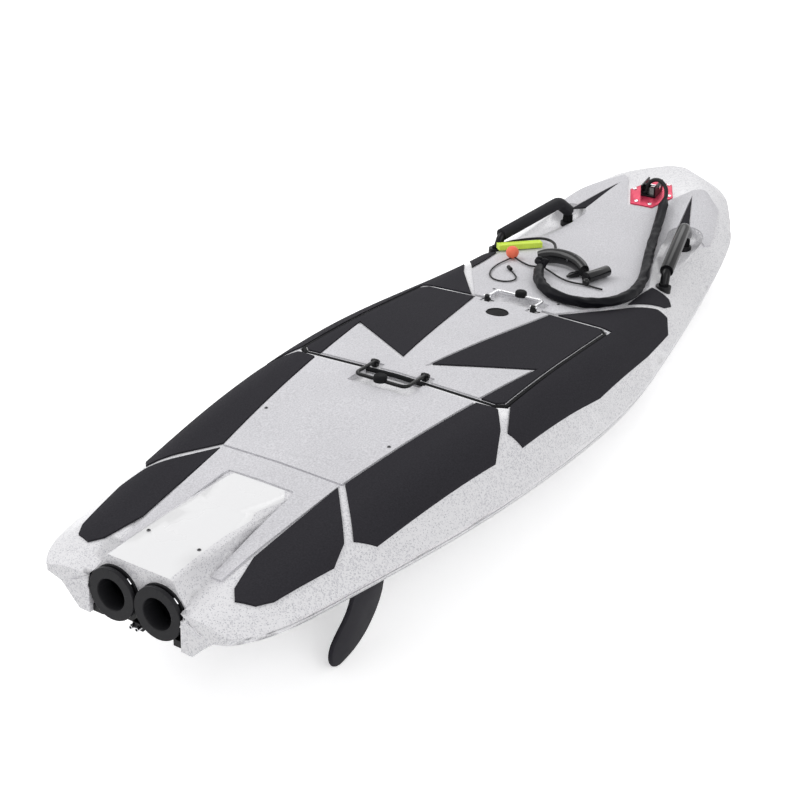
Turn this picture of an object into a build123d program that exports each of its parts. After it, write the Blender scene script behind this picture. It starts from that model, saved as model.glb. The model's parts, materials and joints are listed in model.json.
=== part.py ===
from build123d import *
import math
import os

os.makedirs("parts", exist_ok=True)

# Motorized surfboard. Millimetres. Modelled level: X forward from the transom, Y to port, Z up from the flat
# of the bottom. At the end the board is tilted as it parks, on its two fins and the front of its bottom.

# Hull stations: x, half width, height of the seam, of the deck's middle and of the bottom's middle
STATIONS = [
    (0, 150, 46, 58, 0), (60, 186, 46, 68, 0), (150, 207, 45, 84, 0), (270, 230, 45, 103, 0),
    (420, 255, 45, 124, 0), (600, 275, 46, 139, 0), (790, 285, 47, 144, 0), (980, 280, 49, 140, 0),
    (1160, 262, 59, 138, 2), (1320, 245, 76, 142, 11), (1460, 231, 101, 153, 32),
    (1580, 218, 131, 174, 64), (1680, 194, 159, 201, 105), (1755, 140, 182, 217, 149),
    (1812, 90, 204, 227.5, 188), (1844, 54, 217, 233, 206), (1858, 24, 225, 235.5, 216),
]
# Under the rail: y and z of the tuck, and y of the edge of the flat, for the same stations
TUCKS = [
    (124, 31, 94), (150, 30, 98), (181, 25, 120), (206, 17, 145), (230, 14, 165), (248, 13, 180),
    (257, 13, 188), (252, 15, 184), (236, 19, 172), (220, 30, 158), (207, 53, 146), (194, 85, 134),
    (172, 124, 115), (122, 162, 80), (77, 194, 50), (45, 210, 30), (19, 221, 12),
]
# Cross section of the deck: part of the half width, part of the drop from the middle to the seam
CROWN, SHOULDER, RAIL, LIP = (0.62, 0.055), (0.80, 0.235), (0.90, 0.56), (1.0, 0.93)
SEAM_STEP = 1.5
SEAM_LIP = 8.0
# Heights that clear the whole board below and above
BELOW, ABOVE = -60.0, 420.0

# Foam pads on the deck
PAD = 3.0

# Cover hump over the pumps: x, half width of its top, height of its top, half width at its foot
HUMP = [(-2, 58, 91, 112), (80, 57, 97, 92), (170, 56, 101, 78), (262, 55, 103, 62)]
HUMP_FOOT = 38.0
# Where the foam stops round the hump's foot
HUMP_EDGE = [(-10, 82), (0, 78), (80, 68), (170, 62), (255, 59), (265, 55)]

# Twin water jets
JET_Y, JET_Z = 38.0, 41.0
BORE_R, BORE_LEN = 34.0, 215.0
TUBE_R, TUBE_WALL = 34.0, 2.5
# Nozzle: radius of both flanges, of the neck between them, thickness of a flange, length of the spigot
NOZZLE_R, NECK_R, FLANGE_T, NECK_LEN, SPIGOT_LEN = 37.5, 33.0, 6.0, 4.0, 12.0
NOZZLE_HOLE_R = 22.5
FLANGE_BACK = 2 * FLANGE_T + NECK_LEN
WHEEL_R, WHEEL_HUB, WHEEL_LEN, WHEEL_X = 25.5, 9.0, 24.0, 92.0
BLADE, BLADES, BLADE_PITCH = 2.5, 4, 38.0
# A blade's length as a share of what its ring would hold at that pitch
CHORD_SHARE = 0.86
PIN_R, PIN_PLAY, PIN_LEN = 4.0, 0.05, 22.0
VANES, VANE_T, VANE_X, VANE_LEN, VANE_PITCH = 5, 2.5, 50.0, 30.0, 12.0
# Recess in the transom for the nozzle flanges: half width, depth, height
TRANSOM_BAY = (76.0, 20.0, 80.0)
# Black plate in the recess that carries the nozzles: clearance round it, its feet's height and width
PLATE_PLAY, PLATE_FOOT_H, PLATE_FOOT_W = 0.3, 10.0, 17.0
# Two cooling water outlets under the nozzles: radius, bore, distance from the middle, how far they stick out
OUTLET_R, OUTLET_HOLE_R, OUTLET_Y, OUTLET_OUT = 3.2, 2.0, 5.0, 8.0

# Water intakes under the hull
INTAKE_X, INTAKE_LEN, INTAKE_W, GRILLE_T = 330.0, 170.0, 56.0, 4.0
# Grille: number of bars, their width, width of the frame at its ends and sides
BARS, BAR_W, GRILLE_END, GRILLE_SIDE = 5, 4.0, 8.0, 6.0
# Duct from the intake up to the pump: radius, length, slope; height of the mouth under it
DUCT_R, DUCT_LEN, DUCT_SLOPE, MOUTH_H = 24.0, 180.0, 22.0, 16.0

# Fins under the tail
FIN_X, FIN_Y, FIN_T, FIN_ROOT, FIN_SUNK = 262.0, 172.0, 7.0, 58.0, 14.0
# Its edges as points behind the front of the root and below it: leading edge, tip and trailing edge
FIN_LEADING = [(20, 48.6), (45, 90.7), (78, 107)]
FIN_TIP = [(78, 107), (88, 105), (88, 97)]
FIN_TRAILING = [(88, 97), (66, 54), (58, 0)]

# Battery bay under the lid
BAY = (655.0, 1000.0, 165.0, 22.0)
BATTERY = (300.0, 300.0, 90.0)
LID_X0, LID_X1, LID_Y, LID_T, LID_CORNER = 625.0, 1031.0, 190.0, 14.0, 14.0
LID_GAP = 5.0
# Rubber seal under the lid: how far in from its edge, width, height
SEAL_IN, SEAL_W, SEAL_H = 4.0, 8.0, 3.0

# Lid catches: a wire bail at each end, hinged on the lid, that drops over a knob
BAIL_WIRE, BAIL_HALF = 3.0, 47.0
# Bails: x of the hinge line on the lid and x of the bar's middle
REAR_BAIL = (634.0, 574.0)
FRONT_BAIL = (1022.0, 1064.0)
BAIL_Z = 148.0
CLIP = (14.0, 12.0, 20.0)
KNOB_R, KNOB_H, KNOB_ROUND, KNOB_GRIP = 11.0, 11.0, 4.5, 1.2
# Pockets in the deck under the bails: height of the floor, room beside the wire
POCKET_FLOOR, POCKET_ROOM = 131.0, 9.0
# Round cap let into the lid's middle pad: x, radius, height of its middle, thickness
DISC_X, DISC_R, DISC_Z, DISC_T = 970.0, 21.0, 141.0, 2.5

# Grab handles: x, y and z along the tube's middle, port side
HANDLE = [(1318, 184, 122), (1333, 181, 163), (1522, 143, 197), (1560, 135, 172), (1561, 135, 132)]
HANDLE_BENDS = [18.0, 30.0, 18.0]
HANDLE_R, GRIP_R = 9.0, 13.0
FOOT_R, FOOT_H = 15.0, 8.0
# Finger scoop beside each handle: radius and height of its axis
SCOOP_R, SCOOP_Z = 38.0, 176.0

# Nose plate and tether bracket
PLATE = [(1640, 25), (1697, 50), (1753, 25)]
# Tether bracket: place and slope of its base, gap between its cheeks, a cheek's length, thickness, height
BRACKET_X, BRACKET_Z, BRACKET_TILT = 1697.0, 208.0, -13.5
BRACKET_GAP, CHEEK, BRACKET_BASE_T = 26.0, (44.0, 4.0, 26.0), 4.0
# Tether pin: radius, distance below the cheeks' tops
TETHER_PIN_R, TETHER_PIN_DOWN = 4.0, 9.0

# Hand throttle, lying on the front pad: points of its arched body, its radii across and in height
THROTTLE = [(1276, 67, 154), (1279, 9, 163.5), (1251, -43, 155)]
THROTTLE_R, THROTTLE_HIGH = 12.5, 15.0
# Shares of its length, and of its full section there
THROTTLE_TAPER = [(0, 0.78), (0.12, 0.95), (0.5, 1.0), (0.88, 0.95), (1, 0.85)]
# Cross tube at its end, and its trigger
CROSS_TUBE, CROSS_R = [(1221, -61, 153), (1285, -77, 153.6)], 11.0
TRIGGER, TRIGGER_SIZE, TRIGGER_TURN = (1236, -26, 148), (30.0, 9.0, 9.0), -25.0

# Loose tether, cords and their ends: points of each route, radius
SLEEVE = [
    (1652, -49, 212), (1600, -62, 195.5), (1530, -80, 178), (1446, -103, 165.5), (1364, -129, 157.4),
    (1292, -151, 153.6), (1236, -163, 151), (1186, -165, 150), (1134, -151, 150), (1098, -119, 150.6),
    (1092, -74, 150.6), (1106, -34, 152), (1142, 0, 153.6), (1184, 24, 153.6), (1224, 39, 154),
]
SLEEVE_R = 10.0
LOOP = [
    (1683.5, 8, 213), (1684, 7, 230), (1687, -5, 241), (1683, -22, 243), (1675, -38, 234), (1664, -46, 223),
    (1652, -49, 212),
]
LOOP_R = 4.5
KNOT, KNOT_R = (1237, 42, 158), 15.0
FLOAT, FLOAT_R = (1268, 122, 154.2), 13.0
KEY_BLOCK, KEY_BLOCK_SIZE = [(1298, 170, 148.3), (1364, 104, 151.9)], (20.0, 11.0)
LANYARD = [
    (1262, 121, 143.8), (1232, 127, 141.6), (1202, 127, 140.8), (1172, 121, 140.5), (1147, 109, 140.5),
    (1131, 91, 140.9), (1130, 71, 141.5), (1143, 57, 141.9), (1163, 58, 142), (1183, 73, 142),
    (1197, 88, 141.8),
]
LANYARD_R, LANYARD_END_LEN, LANYARD_END_R = 1.5, 16.0, 4.0
FLOAT_CORD = [
    (1263.5, 114, 146.4), (1255, 97, 143.8), (1246, 80, 144), (1239, 65, 144.6), (1236.8, 52, 147.5),
]
LOCK_CORD = [
    (1236.5, 32, 147.4), (1224, 12, 147), (1210, -6, 147), (1202, -26, 145.6), (1203, -46, 144.2),
    (1209, -66, 144), (1207, -85, 143), (1208.5, -102, 142.2),
]
THIN_R = 1.8
FEED = [
    (1291, 38, 166), (1312, 48, 169.5), (1336, 62, 168.5), (1358, 81, 165), (1376, 104, 160),
    (1387, 126, 153), (1384, 148, 147.5), (1370, 166, 144), (1353, 176, 142.8), (1336.2, 180.4, 142.4),
]
FEED_R = 2.8
LOCK_BALL, LOCK_R = (1211.5, -66, 148.8), 7.5

PIECES = {}
# Points in the level frame that the record places joints and mounts on
ANCHORS = {}


def deck_section(x, w, seam, deck, bottom):
    h = deck - seam

    def p(share, side):
        return Vector(x, side * share[0] * w, deck - h * share[1])

    half = []
    for side in (1, -1):
        line = [
            Line(Vector(x, side * w, seam), p(LIP, side)),
            Line(p(LIP, side), p(RAIL, side)),
            ThreePointArc(p(RAIL, side), p(SHOULDER, side), p(CROWN, side)),
            Line(p(CROWN, side), p((0, 0), side)),
        ]
        half += line if side == 1 else line[::-1]
    closing = Line(Vector(x, -w, seam), Vector(x, w, seam))
    return Face(Wire(half + [closing]))


def bottom_section(row, tuck):
    x, w, seam, deck, bottom = row
    y1, z1, y2 = tuck
    w = w - SEAM_STEP
    pts = [(w, seam), (w, seam - SEAM_LIP), (y1, z1), (y2, bottom)]
    pts = pts + [(-y, z) for y, z in pts[::-1]]
    return Face(Wire.make_polygon([Vector(x, y, z) for y, z in pts], close=True))


def box(x0, x1, y0, y1, z0, z1):
    return Pos((x0 + x1) / 2, (y0 + y1) / 2, (z0 + z1) / 2) * Box(x1 - x0, y1 - y0, z1 - z0)


def prism(points, z0=BELOW, z1=ABOVE):
    face = Face(Wire.make_polygon([Vector(x, y, z0) for x, y in points], close=True))
    return extrude(face, z1 - z0, dir=(0, 0, 1))


def mirrored(points):
    return [(x, -y) for x, y in points]


def both(points):
    # An outline across the middle from its port half, listed from aft to forward
    return points + mirrored(points)[::-1]


def rod(x0, x1, y, z, r):
    return Pos((x0 + x1) / 2, y, z) * Rot(0, 90, 0) * Cylinder(r, x1 - x0)


def deck_body():
    return loft([deck_section(*row) for row in STATIONS])


def bottom_body():
    return loft([bottom_section(a, b) for a, b in zip(STATIONS, TUCKS)])


def hump_body():
    faces = []
    for x, top, z, foot in HUMP:
        low = HUMP_FOOT
        port = ThreePointArc(
            (x, foot, low), (x, top + (foot - top) * 0.30, low + (z - low) * 0.42), (x, top, z - 5)
        )
        star = ThreePointArc(
            (x, -top, z - 5), (x, -top - (foot - top) * 0.30, low + (z - low) * 0.42), (x, -foot, low)
        )
        roof = [
            Line((x, top, z - 5), (x, top - 8, z)),
            Line((x, top - 8, z), (x, -top + 8, z)),
            Line((x, -top + 8, z), (x, -top, z - 5)),
        ]
        faces.append(Face(Wire([port] + roof + [star, Line((x, -foot, low), (x, foot, low))])))
    return loft(faces)


def lid_outline(grow=0.0):
    a, b, y, c = LID_X0 - grow, LID_X1 + grow, LID_Y + grow, LID_CORNER
    return [(a, y - c), (a + c, y), (b - c, y), (b, y - c), (b, c - y), (b - c, -y), (a + c, -y), (a, c - y)]


# The pads' outlines on the deck, port half or port side, x and y
TAIL_SIDE = [(304, 103), (217, 172), (178, 183), (79, 160), (58, 147), (49, 122), (66, 108), (126, 93)]
TAIL_MID = [(309, 102), (126, 87), (70, 84)]
WAIST_SIDE = [(316, 107), (229, 179), (253, 201), (524, 235), (577, 213), (616, 187), (612, 151)]
WAIST_MID = [(313, 103), (611, 147)]
LID_MID = [(629, 147), (770, 168), (675, 22), (1013, 72), (1027, 75)]
LID_SIDE = [(629, 151), (629, 176), (641, 186), (1015, 186), (1027, 174), (1027, 79), (690, 28), (783, 173)]
MID_SIDE = [(640, 196), (586, 221), (596, 243), (853, 259), (1087, 251), (1208, 243), (1242, 226),
            (1229, 209), (1147, 166), (1038, 90), (1038, 196)]
CRESCENT = [(1182, 167), (1258, 212), (1284, 216), (1294, 207), (1292, 170), (1240, 167)]
FRONT_MID = [(1038, 82), (1166, 158), (1300, 162), (1400, 128), (1500, 105), (1552, 104), (1592, 106),
             (1724, 84.5), (1577, 137), (1555, 180), (1569, 187), (1607, 180), (1711, 152), (1733, 142),
             (1757, 118), (1764, 95), (1751, 78), (1697, 56), (1662, 34)]
PLATE_HOLE = [(1632, 29), (1697, 56), (1765, 29)]
FLASH = [(1592, 108), (1578, 134), (1712, 88)]


def pad(outline, skin, cut=None):
    # A pad is the piece of the foam sheet that lies inside its outline
    sheet = skin & prism(outline)
    if cut is not None:
        sheet = sheet - cut
    return max(sheet.solids(), key=lambda solid: solid.volume)


def pad_pair(outline, skin):
    port = pad(outline, skin)
    return Compound([port, mirror(port, Plane.XZ)])


def vane_ring(count, x0, x1, root, tip, thick, pitch):
    blades = None
    for i in range(count):
        blade = Pos((x0 + x1) / 2, 0, 0) * Rot(i * 360 / count, 0, 0) * Pos(0, 0, (root + tip) / 2)
        chord = (x1 - x0) / math.cos(math.radians(pitch)) * CHORD_SHARE
        blade = blade * Rot(0, 0, pitch) * Box(chord, thick, tip - root)
        blades = blade if blades is None else blades + blade
    return blades


def wheel():
    # Pump wheel: bladed hub with the pin that runs in the stator
    hub = rod(WHEEL_X, WHEEL_X + WHEEL_LEN, 0, 0, WHEEL_HUB)
    blades = vane_ring(BLADES, WHEEL_X, WHEEL_X + WHEEL_LEN, WHEEL_HUB - 2, WHEEL_R, BLADE, BLADE_PITCH)
    pin = rod(WHEEL_X - PIN_LEN, WHEEL_X + 1, 0, 0, PIN_R)
    return hub + blades + pin


def stator():
    hub = rod(VANE_X, VANE_X + VANE_LEN, 0, 0, WHEEL_HUB + 3)
    hub = hub - rod(WHEEL_X - PIN_LEN - 3, WHEEL_X, 0, 0, PIN_R + PIN_PLAY)
    vanes = vane_ring(VANES, VANE_X + 4, VANE_X + VANE_LEN - 4, WHEEL_HUB + 1, TUBE_R, VANE_T,
                      VANE_PITCH)
    return hub + (vanes & rod(0, BORE_LEN, 0, 0, TUBE_R - TUBE_WALL))


def fin(side):
    leading, tip, trailing = [[(FIN_X - back, 0, -down) for back, down in edge]
                              for edge in (FIN_LEADING, FIN_TIP, FIN_TRAILING)]
    root = (FIN_X, 0, FIN_SUNK)
    heel = (FIN_X - FIN_ROOT, 0, FIN_SUNK)
    outline = Wire([
        Line(root, leading[0]),
        ThreePointArc(*leading),
        ThreePointArc(*tip),
        ThreePointArc(*trailing),
        Line(trailing[-1], heel),
        Line(heel, root),
    ])
    blade = extrude(Face(outline), FIN_T / 2, both=True, dir=(0, 1, 0))
    return Pos(0, side * FIN_Y, 0) * blade


def bail(hinge, bar):
    # A bent wire: two arms from the pins in the clips, and the bar across with its rubber knob
    y = BAIL_HALF
    path = FilletPolyline((hinge, -y, BAIL_Z), (bar, -y, BAIL_Z), (bar, y, BAIL_Z), (hinge, y, BAIL_Z),
                          radius=10)
    start = Plane(origin=path @ 0, z_dir=path % 0)
    wire = sweep(start * Circle(BAIL_WIRE), path=path)
    for side in (1, -1):
        pin = Pos(hinge, side * y, BAIL_Z) * Rot(90, 0, 0) * Cylinder(BAIL_WIRE, 2 * BAIL_WIRE + 8)
        wire = wire + pin
    return wire


def bail_knob(bar):
    knob = Pos(bar, 0, BAIL_Z + KNOB_H / 2 - KNOB_GRIP) * Cylinder(KNOB_R, KNOB_H)
    knob = fillet(knob.edges().group_by(Axis.Z)[-1], KNOB_ROUND)
    return knob - Pos(bar, 0, BAIL_Z) * Rot(90, 0, 0) * Cylinder(BAIL_WIRE, 4 * KNOB_R)


def bail_clips(hinge):
    parts = []
    for side in (1, -1):
        y = side * BAIL_HALF
        block = Pos(hinge, y, BAIL_Z + 6 - CLIP[2] / 2) * Box(CLIP[0], CLIP[1] + 10, CLIP[2])
        slot = Pos(hinge, y, BAIL_Z) * Rot(90, 0, 0) * Cylinder(BAIL_WIRE + 0.1, CLIP[1] + 30)
        arm = Pos(hinge, y, BAIL_Z + 10) * Box(CLIP[0] + 2, 2 * BAIL_WIRE + 1, 2 * (10 + BAIL_WIRE + 0.5))
        parts.append(block - slot - arm)
    return parts


def clip_room():
    # Where the pad is cut out round the bails' clips and arms
    room = None
    for hinge, edge in ((REAR_BAIL[0], LID_X0 - 5), (FRONT_BAIL[0], LID_X1 + 5)):
        for side in (1, -1):
            y = side * BAIL_HALF
            far = hinge + math.copysign(CLIP[0] / 2 + 2, hinge - edge)
            spot = box(min(edge, far), max(edge, far), y - CLIP[1] / 2 - 7, y + CLIP[1] / 2 + 7, 100, 200)
            room = spot if room is None else room + spot
    return room


def handle_path(side):
    pts = [(x, side * y, z) for x, y, z in HANDLE]
    return FilletPolyline(*pts, radius=HANDLE_BENDS)


def swept(path, radius):
    return sweep(Plane(origin=path @ 0, z_dir=path % 0) * Circle(radius), path=path)


def corner_radii(points):
    # An arc at each corner, as large as its two runs allow
    radii = []
    for a, b, c in zip(points, points[1:], points[2:]):
        first, second = Vector(*b) - Vector(*a), Vector(*c) - Vector(*b)
        half_turn = math.radians(first.get_angle(second) / 2)
        radii.append(round(0.45 * min(first.length, second.length) / math.tan(half_turn), 1))
    return radii


def cord(name, points, radius):
    radii = corner_radii(points)
    path = FilletPolyline(*points, radius=radii)
    tube = swept(path, radius)
    print("cord", name, "length", round(path.length, 1), "radii", radii)
    print("cord", name, "volume ratio", round(tube.volume / (path.length * math.pi * radius ** 2), 4))
    return tube


def throttle_body():
    # Arched moulded grip: ellipses square to a three point arc, thinner at both ends
    arc = ThreePointArc(*THROTTLE)
    faces = []
    for share, size in THROTTLE_TAPER:
        frame = Plane(origin=arc @ share, x_dir=(0, 0, 1), z_dir=arc % share)
        faces.append(frame * Ellipse(THROTTLE_HIGH * size, THROTTLE_R * size))
    return loft(faces)


def key_block():
    # A straight block of foam between its two end points
    start, end = Vector(*KEY_BLOCK[0]), Vector(*KEY_BLOCK[1])
    middle, run = (start + end) * 0.5, end - start
    turn = math.degrees(math.atan2(run.Y, run.X))
    rise = math.degrees(math.atan2(run.Z, math.hypot(run.X, run.Y)))
    frame = Pos(middle.X, middle.Y, middle.Z) * Rot(0, 0, turn) * Rot(0, -rise, 0)
    return frame * Box(run.length, *KEY_BLOCK_SIZE)


def throttle_and_cords():
    body = throttle_body()
    tube = swept(Line(*CROSS_TUBE), CROSS_R)
    trigger = Pos(*TRIGGER) * Rot(0, 0, TRIGGER_TURN) * Box(*TRIGGER_SIZE)
    PIECES["throttle_body"] = body - tube
    PIECES["throttle_cross_tube"] = tube
    PIECES["throttle_trigger"] = max((trigger - body - tube).solids(), key=lambda solid: solid.volume)

    sleeve = cord("tether_sleeve", SLEEVE, SLEEVE_R)
    lanyard = cord("cord_lanyard", LANYARD, LANYARD_R)
    float_cord = cord("cord_float", FLOAT_CORD, THIN_R)
    lock_cord = cord("cord_lock", LOCK_CORD, THIN_R)
    block = key_block()
    knot = Pos(*KNOT) * Sphere(KNOT_R)
    PIECES["tether_sleeve"] = sleeve
    PIECES["tether_loop"] = cord("tether_loop", LOOP, LOOP_R) - sleeve
    PIECES["tether_knot"] = knot - sleeve - body - float_cord - lock_cord
    PIECES["key_block"] = block
    PIECES["float_ball"] = Pos(*FLOAT) * Sphere(FLOAT_R) - block - lanyard - float_cord
    PIECES["cord_lanyard"] = lanyard
    PIECES["cord_float"] = float_cord
    PIECES["cord_lock"] = lock_cord
    PIECES["throttle_lock_ball"] = Pos(*LOCK_BALL) * Sphere(LOCK_R) - tube - lock_cord
    PIECES["cord_feed"] = cord("cord_feed", FEED, FEED_R) - body
    last = Vector(*LANYARD[-1])
    along = (last - Vector(*LANYARD[-2])).normalized()
    end = Line(last + along * 0.1, last + along * LANYARD_END_LEN)
    PIECES["cord_lanyard_end"] = Pos(0, 0, LANYARD_END_R - LANYARD_R) * swept(end, LANYARD_END_R)


def nozzle_plate():
    # Carries both nozzles in the transom's recess, with three feet under them, the middle one for the outlets
    half, deep, high = TRANSOM_BAY
    plate = box(FLANGE_BACK, deep, -half + PLATE_PLAY, half - PLATE_PLAY, 0, high - PLATE_PLAY)
    far = half - PLATE_PLAY - PLATE_FOOT_W / 2
    reach = PLATE_FOOT_W / 2
    for y in (-far, 0, far):
        plate = plate + box(FLANGE_T, FLANGE_BACK + 1, y - reach, y + reach, 0, PLATE_FOOT_H)
    for side in (1, -1):
        plate = plate - rod(FLANGE_BACK - 1, deep + 1, side * JET_Y, JET_Z, TUBE_R + PLATE_PLAY)
    return plate


def outlet_tubes():
    tubes = []
    for side in (1, -1):
        z = PLATE_FOOT_H - OUTLET_R - 1
        tube = rod(FLANGE_T - OUTLET_OUT, FLANGE_T, side * OUTLET_Y, z, OUTLET_R)
        tubes.append(tube - rod(FLANGE_T - OUTLET_OUT - 1, FLANGE_T + 1, side * OUTLET_Y, z, OUTLET_HOLE_R))
    return Compound(tubes)


def scoop(side):
    a, b = HANDLE[1], HANDLE[3]
    start, end = Vector(a[0] + 40, side * (a[1] - 8), SCOOP_Z), Vector(b[0], side * b[1], SCOOP_Z)
    run = Line(start, end)
    body = sweep(Plane(origin=run @ 0, z_dir=run % 0) * Circle(SCOOP_R), path=run)
    return body + Pos(end.X, end.Y, end.Z) * Sphere(SCOOP_R)


def build():
    deck = deck_body()
    scoops = scoop(1) + scoop(-1)
    plain = deck
    bottom = bottom_body()
    hump = hump_body()
    lid_cut = prism(lid_outline(LID_GAP), 0)
    lid_floor = Pos(0, 0, -LID_T) * plain
    recess = lid_cut - lid_floor
    bay = box(BAY[0], BAY[1], -BAY[2], BAY[2], BAY[3], ABOVE)
    bores = rod(-1, BORE_LEN, JET_Y, JET_Z, BORE_R) + rod(-1, BORE_LEN, -JET_Y, JET_Z, BORE_R)
    half, deep, high = TRANSOM_BAY
    transom = box(-5, deep, -half, half, -5, high)
    ducts = None
    for side in (1, -1):
        bend = Pos(BORE_LEN - 8, side * JET_Y, JET_Z) * Rot(0, 90 + DUCT_SLOPE, 0)
        duct = bend * Pos(0, 0, DUCT_LEN / 2) * Cylinder(DUCT_R, DUCT_LEN)
        mouth = box(INTAKE_X - INTAKE_LEN / 2, INTAKE_X + INTAKE_LEN / 2, side * JET_Y - INTAKE_W / 2,
                    side * JET_Y + INTAKE_W / 2, -5, MOUTH_H)
        ducts = duct + mouth if ducts is None else ducts + duct + mouth
    wide = BAIL_HALF + POCKET_ROOM
    pocket_r = box(REAR_BAIL[1] - POCKET_ROOM, LID_X0 - 1, -wide, wide, POCKET_FLOOR, ABOVE)
    pocket_f = box(LID_X1 + 1, FRONT_BAIL[1] + POCKET_ROOM, -wide, wide, POCKET_FLOOR, ABOVE)
    lower = bottom - bores - transom - bay - ducts
    upper = (deck + hump) - bores - transom - bay - recess - ducts - pocket_r - pocket_f
    upper = upper - bottom - scoops
    PIECES["hull_bottom"] = lower
    PIECES["hull_deck"] = upper
    PIECES["battery"] = Pos((BAY[0] + BAY[1]) / 2, 0, BAY[3] + BATTERY[2] / 2) * Box(*BATTERY)
    PIECES["nozzle_plate"] = nozzle_plate()
    PIECES["outlet_tubes"] = outlet_tubes()

    # Foam sheet over the whole deck, from which the pads are cut
    skin = Pos(0, 0, PAD) * plain - plain
    PIECES["tail_pad_mid"] = pad(both(TAIL_MID), skin, prism(both(HUMP_EDGE)))
    PIECES["tail_pads_side"] = pad_pair(TAIL_SIDE, skin)
    PIECES["waist_pad_mid"] = pad(both(WAIST_MID), skin, pocket_r)
    PIECES["waist_pads_side"] = pad_pair(WAIST_SIDE, skin)
    PIECES["mid_pads_side"] = pad_pair(MID_SIDE, skin)
    PIECES["front_crescents"] = pad_pair(CRESCENT, skin)
    PIECES["front_pad_mid"] = pad(both(FRONT_MID), skin, pocket_f + scoops + prism(both(PLATE_HOLE)))
    PIECES["nose_flashes"] = pad_pair(FLASH, skin)

    lid = (prism(lid_outline(), 0) & plain) - (Pos(0, 0, -LID_T + SEAL_H) * plain)
    PIECES["lid_panel"] = lid
    ring = prism(lid_outline(-SEAL_IN), 0) - prism(lid_outline(-SEAL_IN - SEAL_W), 0)
    seal = (ring & (Pos(0, 0, -LID_T + SEAL_H) * plain)) - lid_floor
    PIECES["lid_seal"] = seal
    disc_room = Pos(DISC_X, 0, DISC_Z) * Cylinder(DISC_R, 60)
    PIECES["lid_pad_mid"] = pad(both(LID_MID), skin, disc_room + clip_room())
    PIECES["lid_pads_side"] = pad_pair(LID_SIDE, skin)
    PIECES["lid_disc"] = (Pos(DISC_X, 0, DISC_Z) * Cylinder(DISC_R - 1, DISC_T)) - plain

    for name, line in (("rear", REAR_BAIL), ("front", FRONT_BAIL)):
        ANCHORS["bail_" + name] = (line[0], 0, BAIL_Z)
        PIECES["bail_" + name] = bail(*line)
        PIECES["bail_knob_" + name] = bail_knob(line[1])
        clips = [c - plain for c in bail_clips(line[0])]
        PIECES["bail_clips_" + name] = Compound([b for c in clips for b in c.solids()])

    PIECES["nose_plate"] = pad(both(PLATE), skin)
    tilt = Pos(BRACKET_X, 0, BRACKET_Z) * Rot(0, BRACKET_TILT, 0)
    width = BRACKET_GAP + 2 * CHEEK[1]
    bracket = Pos(0, 0, BRACKET_BASE_T / 2) * Box(CHEEK[0], width, BRACKET_BASE_T)
    for side in (1, -1):
        bracket = bracket + Pos(0, side * (BRACKET_GAP + CHEEK[1]) / 2, CHEEK[2] / 2) * Box(*CHEEK)
    across = Pos(0, 0, CHEEK[2] - TETHER_PIN_DOWN) * Rot(90, 0, 0)
    bracket = bracket - across * Cylinder(TETHER_PIN_R, 2 * width)
    PIECES["tether_bracket"] = (tilt * bracket) - PIECES["nose_plate"]
    PIECES["tether_pin"] = tilt * across * Cylinder(TETHER_PIN_R, width + TETHER_PIN_R)
    pin_at = (tilt * across).position
    ANCHORS["tether_pin"] = (pin_at.X, pin_at.Y, pin_at.Z)

    throttle_and_cords()

    for name, side in (("port", 1), ("starboard", -1)):
        path = handle_path(side)
        tube = swept(path, HANDLE_R)
        feet = []
        for x, y, z in (HANDLE[0], HANDLE[-1]):
            foot = Pos(x, side * y, z + FOOT_H) * Cylinder(FOOT_R, 2 * FOOT_H)
            feet.append(foot - (upper + tube))
        PIECES["handle_tube_" + name] = tube - upper
        a, b, c = HANDLE[1], HANDLE[2], HANDLE[3]
        grip_path = FilletPolyline(*[(x, side * y, z) for x, y, z in (a, b, c)], radius=HANDLE_BENDS[1])
        grip = swept(grip_path, GRIP_R) - tube
        PIECES["handle_grip_" + name] = grip
        for i in (1, 2):
            ANCHORS["handle_" + name + str(i)] = (HANDLE[i][0], side * HANDLE[i][1], HANDLE[i][2])
        PIECES["handle_feet_" + name] = Compound([max(f.solids(), key=lambda q: q.volume) for f in feet])

    for name, side in (("port", 1), ("starboard", -1)):
        y = side * JET_Y
        inner = TUBE_R - TUBE_WALL
        end = FLANGE_BACK + SPIGOT_LEN
        ring = rod(0, FLANGE_T, y, JET_Z, NOZZLE_R) + rod(0, end, y, JET_Z, inner)
        ring = ring + rod(0, FLANGE_BACK, y, JET_Z, NECK_R)
        ring = ring + rod(FLANGE_BACK - FLANGE_T, FLANGE_BACK, y, JET_Z, NOZZLE_R)
        PIECES["nozzle_" + name] = ring - rod(-1, end + 1, y, JET_Z, NOZZLE_HOLE_R)
        tube = rod(FLANGE_BACK, BORE_LEN, y, JET_Z, TUBE_R) - rod(0, BORE_LEN + 1, y, JET_Z, inner)
        PIECES["pump_tube_" + name] = tube - ducts
        PIECES["pump_stator_" + name] = Pos(0, y, JET_Z) * stator()
        PIECES["pump_wheel_" + name] = Pos(0, y, JET_Z) * wheel()
        ANCHORS["nozzle_" + name] = (end / 2, y, JET_Z)
        ANCHORS["wheel_" + name] = (WHEEL_X, y, JET_Z)
        x0, x1 = INTAKE_X - INTAKE_LEN / 2, INTAKE_X + INTAKE_LEN / 2
        frame = box(x0, x1, y - INTAKE_W / 2, y + INTAKE_W / 2, 0, GRILLE_T)
        inside = INTAKE_W / 2 - GRILLE_SIDE
        frame = frame - box(x0 + GRILLE_END, x1 - GRILLE_END, y - inside, y + inside, -1, GRILLE_T + 1)
        pitch = 2 * inside / (BARS + 1)
        for i in range(BARS):
            by = y - inside + pitch * (i + 1)
            bar = box(x0 + GRILLE_END / 2, x1 - GRILLE_END / 2, by - BAR_W / 2, by + BAR_W / 2, 0, GRILLE_T)
            frame = frame + bar
        PIECES["intake_grille_" + name] = frame
        PIECES["fin_" + name] = fin(side) - bottom


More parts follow.
